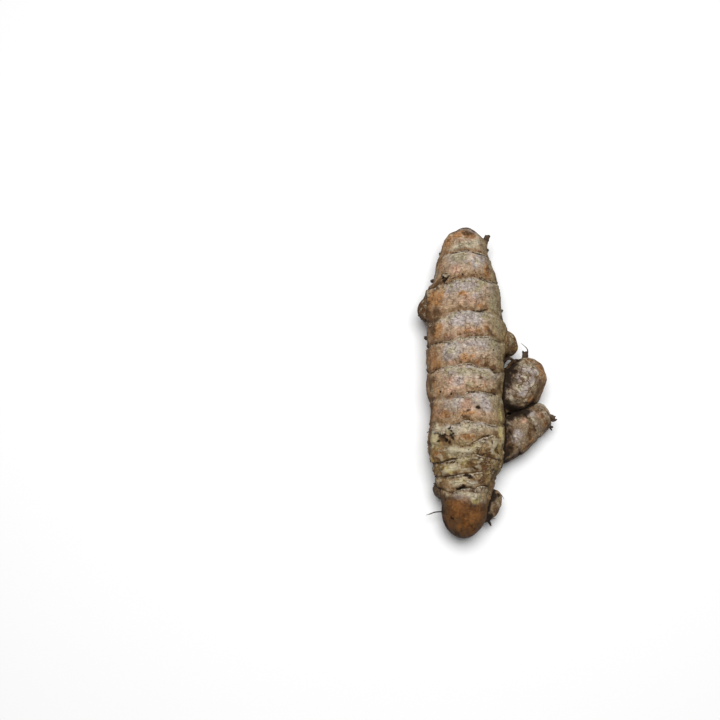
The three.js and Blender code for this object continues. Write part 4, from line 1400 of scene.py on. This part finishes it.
# %% Snapped roots
# Each: where it leaves the skin, which way it points, its radius and its length.
SNAPPED = [
    ((7.4, 47.2, 10.4), (0.42, 0.88, 0.2), 1.0, 3.0), ((11.2, 30, 10.5), (1, 0, 0.1), 0.6, 1.0),
    ((20.3, 6.6, 9.4), (0.0, 0.95, 0.3), 1.0, 2.6), ((27.2, -12.4, 8.4), (0.92, -0.38, 0.1), 0.8, 2.6),
    ((26.6, -14.8, 7.2), (0.6, -0.8, 0), 0.7, 2.0),
]
# The thick black one at the near end: its path, and its radius at even shares of that path.
BLACK_STUB = ([(-7.2, -37.2, 8.6), (-9.6, -37.0, 8.8), (-11.2, -36.6, 9.0)], [3.0, 3.1, 2.9, 2.5, 1.7, 0.4])
STUB_FLARE = np.array([1.35, 1.25, 1.1, 1.02, 0.98, 0.92])  # a stub's width from its foot to its end
SMALL_SNAPPED_PER_RING = 2
NUBS_PER_RING = 3
SEED = 7
SEED_FACTOR, SEED_PRIME = 16807, 2147483647


def seeded_random(seed):
    """The same even draws as the CAD part makes, so that its small stubs are where these are."""
    state = seed
    while True:
        state = state * SEED_FACTOR % SEED_PRIME
        yield state / SEED_PRIME


def small_snapped():
    draws = seeded_random(SEED)
    found = []
    for ring in body.rings:
        for k in range(SMALL_SNAPPED_PER_RING):
            along = ring - 0.5 - 3 * next(draws)
            turn = (0.75 + 0.95 * next(draws)) * (1 if k % 2 else -1)
            out = np.array([math.sin(turn), 0, -math.cos(turn)])
            width = smooth_through(body.widths, np.array([along]))[0]
            at = between_samples(body, body.points, along) + width * out * [1, 1, body.flatness]
            found.append((at, out, 0.5 + 0.3 * next(draws), 0.5 + 0.8 * next(draws)))
    return found


def nubs(draw):
    """The smallest broken roots: low bumps beside the rings."""
    found = []
    for ring in body.rings:
        for degrees in draw.uniform(-190, 40, NUBS_PER_RING):
            at, way = skin_spot(ring - draw.uniform(0.3, 2.2), degrees)
            found.append((at, way, draw.uniform(0.22, 0.4), draw.uniform(0.15, 0.45)))
    return found


def snapped_root(at, towards, radius, length, draw):
    at, towards = np.array(at, float), np.array(towards, float)
    towards /= np.linalg.norm(towards)
    path = [at - STUB_FOOT * towards, at, at + length * towards]
    return strand(path, radius * STUB_FLARE, draw, 0.25, 0.2, min(0.35, 0.3 * length))


draw = np.random.default_rng(5)
black_stub = strand(*BLACK_STUB, draw, 0.4, 0.1)
broken_off = [*SNAPPED, *small_snapped(), *nubs(draw)]
parts = [black_stub, *(snapped_root(*stub, draw) for stub in broken_off)]
stubs = new_piece("snapped_roots", *gather(parts))
print("snapped roots:", len(stubs.data.polygons), "faces")

# %% Whole thin roots and hairs
# Each: a path of places in millimetres, then its radius at even shares of that path.
HAIRS = [
    ([(-7.6, -44.0, 6.2), (-9.7, -44.1, 6.0), (-11.1, -44.4, 6.2), (-12.1, -44.8, 5.8),
      (-13.3, -45.1, 5.6)],
     [0.24, 0.2, 0.2, 0.16, 0.05]),
    ([(12.4, 2.4, 9.4), (12.9, 5.2, 9.8), (14.2, 7.0, 9.8), (15.8, 6.8, 9.6), (17.0, 5.6, 9.2),
      (17.8, 3.8, 8.8)],
     [0.5, 0.42, 0.5, 0.5, 0.6]),
    ([(21.0, 7.6, 9.6), (21.2, 9.2, 10.4), (20.9, 10.0, 10.8), (19.9, 10.9, 11.0), (18.9, 11.8, 10.9)],
     [0.28, 0.2, 0.14, 0.09, 0.05]),
    ([(26.6, -12.6, 8.2), (28.2, -13.9, 8.2), (29.3, -14.2, 8.3), (30.4, -13.7, 8.4)],
     [0.6, 0.45, 0.5, 0.22]),
    ([(26.0, -14.4, 7.6), (27.6, -15.8, 7.8), (29.1, -16.2, 7.6)], [0.75, 0.6, 0.3]),
    ([(27.0, -15.4, 7.5), (28.1, -16.2, 7.3), (28.8, -17.2, 7.0)], [0.4, 0.35, 0.2]),
    ([(10.0, -37.9, 8.4), (10.8, -38.5, 8.6), (11.5, -39.2, 8.4), (12.1, -40.2, 8.0)],
     [0.22, 0.16, 0.12, 0.05]),
    ([(6.2, -45.9, 5.2), (7.4, -46.2, 5.0), (8.5, -46.3, 4.8), (9.6, -46.1, 4.6)], [0.22, 0.14, 0.1, 0.05]),
    ([(7.0, -47.0, 5.6), (7.6, -47.8, 5.2), (7.9, -48.6, 5.0)], [0.45, 0.35, 0.2]),
    ([(7.2, -33.8, 8.8), (8.6, -34.9, 8.8), (8.8, -36.0, 8.6)], [0.6, 0.45, 0.25]),
]
SMALL_HAIRS = 16
SMALL_HAIR_RADII = [0.2, 0.16, 0.11, 0.05]


def short_hair(draw):
    """A thin broken hair that bends away from the skin."""
    at, way = skin_spot(draw.uniform(8, 96), draw.uniform(-170, -10))
    bend = np.cross(way, draw.normal(size=3))
    bend /= np.linalg.norm(bend)
    long = draw.uniform(0.9, 2.0)
    path = [at - 0.8 * way, at + 0.35 * long * way, at + long * (0.55 * way + 0.6 * bend)]
    return path, SMALL_HAIR_RADII


draw = np.random.default_rng(9)
thin = [*HAIRS, *(short_hair(draw) for _ in range(SMALL_HAIRS))]
parts = [strand(path, radii, draw, 0.3, 0.2, 0.06) for path, radii in thin]
hairs = new_piece("thin_roots", *gather(parts))
print("thin roots:", len(hairs.data.polygons), "faces")

# %% [markdown]
# ## Papery scales
# What is left of each leaf is a dry fringe that lies over its ring with a torn edge. It lifts a little
# from the skin and throws a thin shadow, which no bump map can do. So each fringe is a thin closed strip
# of mesh, from its line under the skin to its ragged edge above it.

# %% Torn fringes along the rings
STRIP_STEP = 0.35
STRIP_THICK = 0.1
STRIP_EDGE = 0.04  # half the thickness of the torn edge
STRIP_FOOT = 0.25  # how deep a strip's foot goes under the skin
STRIP_SIDES = 6  # points round a strip's section
FOOT_BEFORE_RING = 0.15
# Each: ring, from degrees, to degrees, reach along the stem, lift from the skin.
FRINGES = [
    (0, 113, 88, 0.8, 0.22), (0, 70, 40, 0.7, 0.2), (1, 128, 112, 0.8, 0.25), (1, 62, 36, 0.9, 0.25),
    (3, 134, 104, 1.0, 0.2), (3, 108, 84, 1.4, 0.28), (3, 90, 50, 1.1, 0.22), (4, 126, 98, 0.9, 0.2),
    (4, 98, 78, 0.8, 0.25), (4, 74, 48, 0.9, 0.2), (5, 112, 92, 0.9, 0.22), (5, 80, 45, 0.8, 0.2),
    (6, 106, 72, 1.0, 0.22), (6, 66, 44, 0.8, 0.2), (7, 84, 50, 0.9, 0.3), (8, 146, 116, 0.9, 0.28),
    (8, 80, 56, 0.7, 0.2), (9, 132, 98, 0.8, 0.22), (9, 90, 60, 0.8, 0.25), (10, 122, 84, 0.9, 0.3),
    (10, 76, 44, 0.8, 0.25),
]
# Lifted flaps: from a place, to a place, each as distance and degrees; then reach and lift.
FLAPS = [((71.4, 155), (73.2, 130), 1.5, 0.7), ((88.2, 96), (88.6, 70), 2.0, 0.4),
         ((20.0, 140), (20.6, 122), 1.4, 0.5)]
FLAP_STEPS = 24
FLAP_RAGGEDNESS = 0.15
HIDDEN_FRINGES_PER_RING = 2
OFF_THE_BODY = 1.5  # a strip with a foot higher than this over the plain body is left out


def ring_at(number, degrees):
    turn = np.array([math.radians(degrees)])
    return ring_line(body, number, turn, np.zeros(1), np.ones(1))[0][0]


def along_ring(number, start, end):
    """Places along a ring from one angle to another, a third of a millimetre apart."""
    radius = plain_radius(body, np.array([body.rings[number]]))[0]
    steps = max(5, int(abs(math.radians(end - start)) * radius / STRIP_STEP))
    turns = np.linspace(start, end, steps + 1)
    return [(ring_at(number, degrees) - FOOT_BEFORE_RING, degrees) for degrees in turns]


def across_skin(start, end):
    """Places in a straight run over the body from one distance and angle to another."""
    return [tuple(place) for place in np.linspace(start, end, FLAP_STEPS + 1)]


def fringe(places, reach, lift, draw, raggedness=0.5):
    """Points and faces of a strip from its foot under the skin to a torn edge that stands off it."""
    steps = len(places) - 1
    torn = np.clip(0.6 + raggedness * draw.standard_normal(steps + 1), 0.12, 1.5)
    points = []
    for k, (along, degrees) in enumerate(places):
        fade = math.sin(math.pi * (k + 0.4) / (steps + 0.8)) ** 0.5
        foot, out = skin_spot(along, degrees)
        edge, edge_out = skin_spot(along + max(0.2, reach * torn[k] * fade), degrees)
        rim = edge + edge_out * lift * fade * (0.5 + 0.7 * torn[k])
        middle = (foot + rim) / 2 + out * 0.35 * lift
        points += [foot - STRIP_FOOT * out, foot + STRIP_THICK * out, middle + STRIP_THICK * out,
                   rim + STRIP_EDGE * edge_out, rim - STRIP_EDGE * edge_out,
                   middle - 0.6 * STRIP_THICK * out]
    way = 1 if places[-1][1] > places[0][1] else -1
    faces = []
    for low in range(0, STRIP_SIDES * steps, STRIP_SIDES):
        high = low + STRIP_SIDES
        for a in range(STRIP_SIDES):
            b = (a + 1) % STRIP_SIDES
            faces.append((low + a, low + b, high + b, high + a)[::way])
    faces.append(tuple(range(STRIP_SIDES))[::-way])
    faces.append(tuple(STRIP_SIDES * steps + a for a in range(STRIP_SIDES))[::way])
    return points, faces


def on_the_body(points):
    """Whether a whole strip lies on the body, with no foot of it out on a finger or a bud."""
    height = measure_on(body, np.array(points[::STRIP_SIDES]))[4]
    return height.max() < OFF_THE_BODY


def hidden_fringes(draw):
    found = []
    for ring in range(len(body.rings)):
        for start in draw.uniform(-170, -40, HIDDEN_FRINGES_PER_RING):
            found.append((ring, start, start + draw.uniform(18, 46), draw.uniform(0.6, 1.1), 0.2))
    return found


draw = np.random.default_rng(21)
lines = [*FRINGES, *hidden_fringes(draw)]
strips = [fringe(along_ring(*line), reach, lift, draw) for *line, reach, lift in lines]
for start, end, reach, lift in FLAPS:
    strips.append(fringe(across_skin(start, end), reach, lift, draw, FLAP_RAGGEDNESS))
strips = [strip for strip in strips if on_the_body(strip[0])]
scales = new_piece("papery_scales", *gather(strips))
print("papery scales:", len(scales.data.polygons), "faces")

# %% [markdown]
# Stubs, thin roots and scales differ only in tint, gloss and the size of their grain, so one function
# makes all three materials from the shared groups. The pieces then ride with the root.

# %% Materials of the small pieces, and riding with the root
BARK = color(0.06, 0.036, 0.02)
BARK_END = color(0.12, 0.075, 0.04)
PAPER_SHADE = color(0.33, 0.245, 0.15)
PAPER = color(0.50, 0.445, 0.345)


def woody_material(name, dark_tint, light_tint, rough, size):
    made, tree, shader = new_material(name)
    in_millimetres = add(tree, "ShaderNodeVectorMath", {"operation": "SCALE"}, Scale=1 / MM)
    plug(tree, in_millimetres.inputs[0], add(tree, "ShaderNodeTexCoord").outputs["Object"])
    place = in_millimetres.outputs[0]
    fibres = place_group(tree, FIBRES, Place=place, Squeeze=(1.0, 1.0, 1.0), Size=size)
    patches = stretch(tree, noise_at(tree, place, 2.0 * size, 3.0, 0.6), 0.4, 0.65)
    hue = blend(tree, patches, dark_tint, light_tint)
    flecked = place_group(tree, MOTTLE, Place=place, Color=hue, Size=size, Amount=0.9)
    hue = masked(tree, fibres["Mask"], 0.4, flecked["Color"], UMBER)
    plug(tree, shader.inputs["Base Color"], hue)
    shader.inputs["Roughness"].default_value = rough
    shader.inputs["Specular IOR Level"].default_value = 0.3
    bump = add(tree, "ShaderNodeBump", Height=flecked["Height"], Strength=0.7, Distance=0.3 * MM)
    plug(tree, shader.inputs["Normal"], bump.outputs["Normal"])
    return made


stubs.data.materials.append(woody_material("woody stub", BARK, BARK_END, 0.8, 0.8))
hairs.data.materials.append(woody_material("thin root", UMBER, BARK, 0.7, 0.6))
scales.data.materials.append(woody_material("papery scale", PAPER_SHADE, PAPER, 0.75, 0.7))
for piece in (stubs, hairs, scales):
    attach(piece, "root")
    print(piece.name, "rides with the root")

# %% [markdown]
# ## Floor, light and camera
# The photograph is a soft top light on a white ground, seen from almost straight above. A large soft
# panel overhead gives the pale sheen down the root's back and leaves its flanks darker, and a weak sky
# keeps the shadows open. The camera looks down at the root as the photograph does.

# %% The stage
FLOOR_SIZE = 3.0
FLOOR_GREY = 0.78
PANEL_SIZE = 0.5
PANEL_PLACE = (-0.02, 0.08, 0.75)
PANEL_TILT = -0.1
# The panel's light adds to the sheen and the flank shade that are painted into the skin.
PANEL_POWER = 7.6
SKY = 0.14


def make_floor():
    half = FLOOR_SIZE / 2
    corners = [(-half, -half, 0), (half, -half, 0), (half, half, 0), (-half, half, 0)]
    mesh = bpy.data.meshes.new("floor")
    mesh.from_pydata(corners, [], [(0, 1, 2, 3)])
    floor = bpy.data.objects.new("floor", mesh)
    bpy.context.scene.collection.objects.link(floor)
    made, _, shader = new_material("pale floor")
    shader.inputs["Base Color"].default_value = color(FLOOR_GREY, FLOOR_GREY, FLOOR_GREY)
    shader.inputs["Roughness"].default_value = 0.9
    mesh.materials.append(made)


def make_panel():
    light = bpy.data.lights.new("soft panel", "AREA")
    light.shape, light.size, light.energy = "DISK", PANEL_SIZE, PANEL_POWER
    panel = bpy.data.objects.new("soft panel", light)
    panel.location = PANEL_PLACE
    panel.rotation_euler = (PANEL_TILT, 0, 0)
    bpy.context.scene.collection.objects.link(panel)


def make_sky():
    world = bpy.data.worlds.new("soft sky")
    world.use_nodes = True
    sky = world.node_tree.nodes["Background"]
    sky.inputs["Color"].default_value = color(1, 1, 1)
    sky.inputs["Strength"].default_value = SKY
    bpy.context.scene.world = world


make_floor()
make_panel()
make_sky()
bpy.context.scene.view_settings.view_transform = "Standard"
print("stage ready")

# %% [markdown]
# In the photograph this root lies right of the middle. So the camera looks at a place to the root's
# left, which puts the root in the same part of the picture without any lens shift.

# %% The camera
ELEVATION = math.radians(76)
LOOK_AT = Vector((-0.0421, 0.00585, 0.0110))
DISTANCE = 0.42
LENS = 63.0
SENSOR = 36.0
NEAREST, FARTHEST = 0.01, 10

lens = bpy.data.cameras.new("camera")
lens.lens, lens.sensor_width = LENS, SENSOR
lens.clip_start, lens.clip_end = NEAREST, FARTHEST
camera = bpy.data.objects.new("camera", lens)
back = Vector((0, -math.cos(ELEVATION), math.sin(ELEVATION)))
camera.location = LOOK_AT + DISTANCE * back
camera.rotation_euler = (-back).to_track_quat("-Z", "Y").to_euler()
bpy.context.scene.collection.objects.link(camera)
bpy.context.scene.camera = camera
print("camera at", [round(c, 3) for c in camera.location])
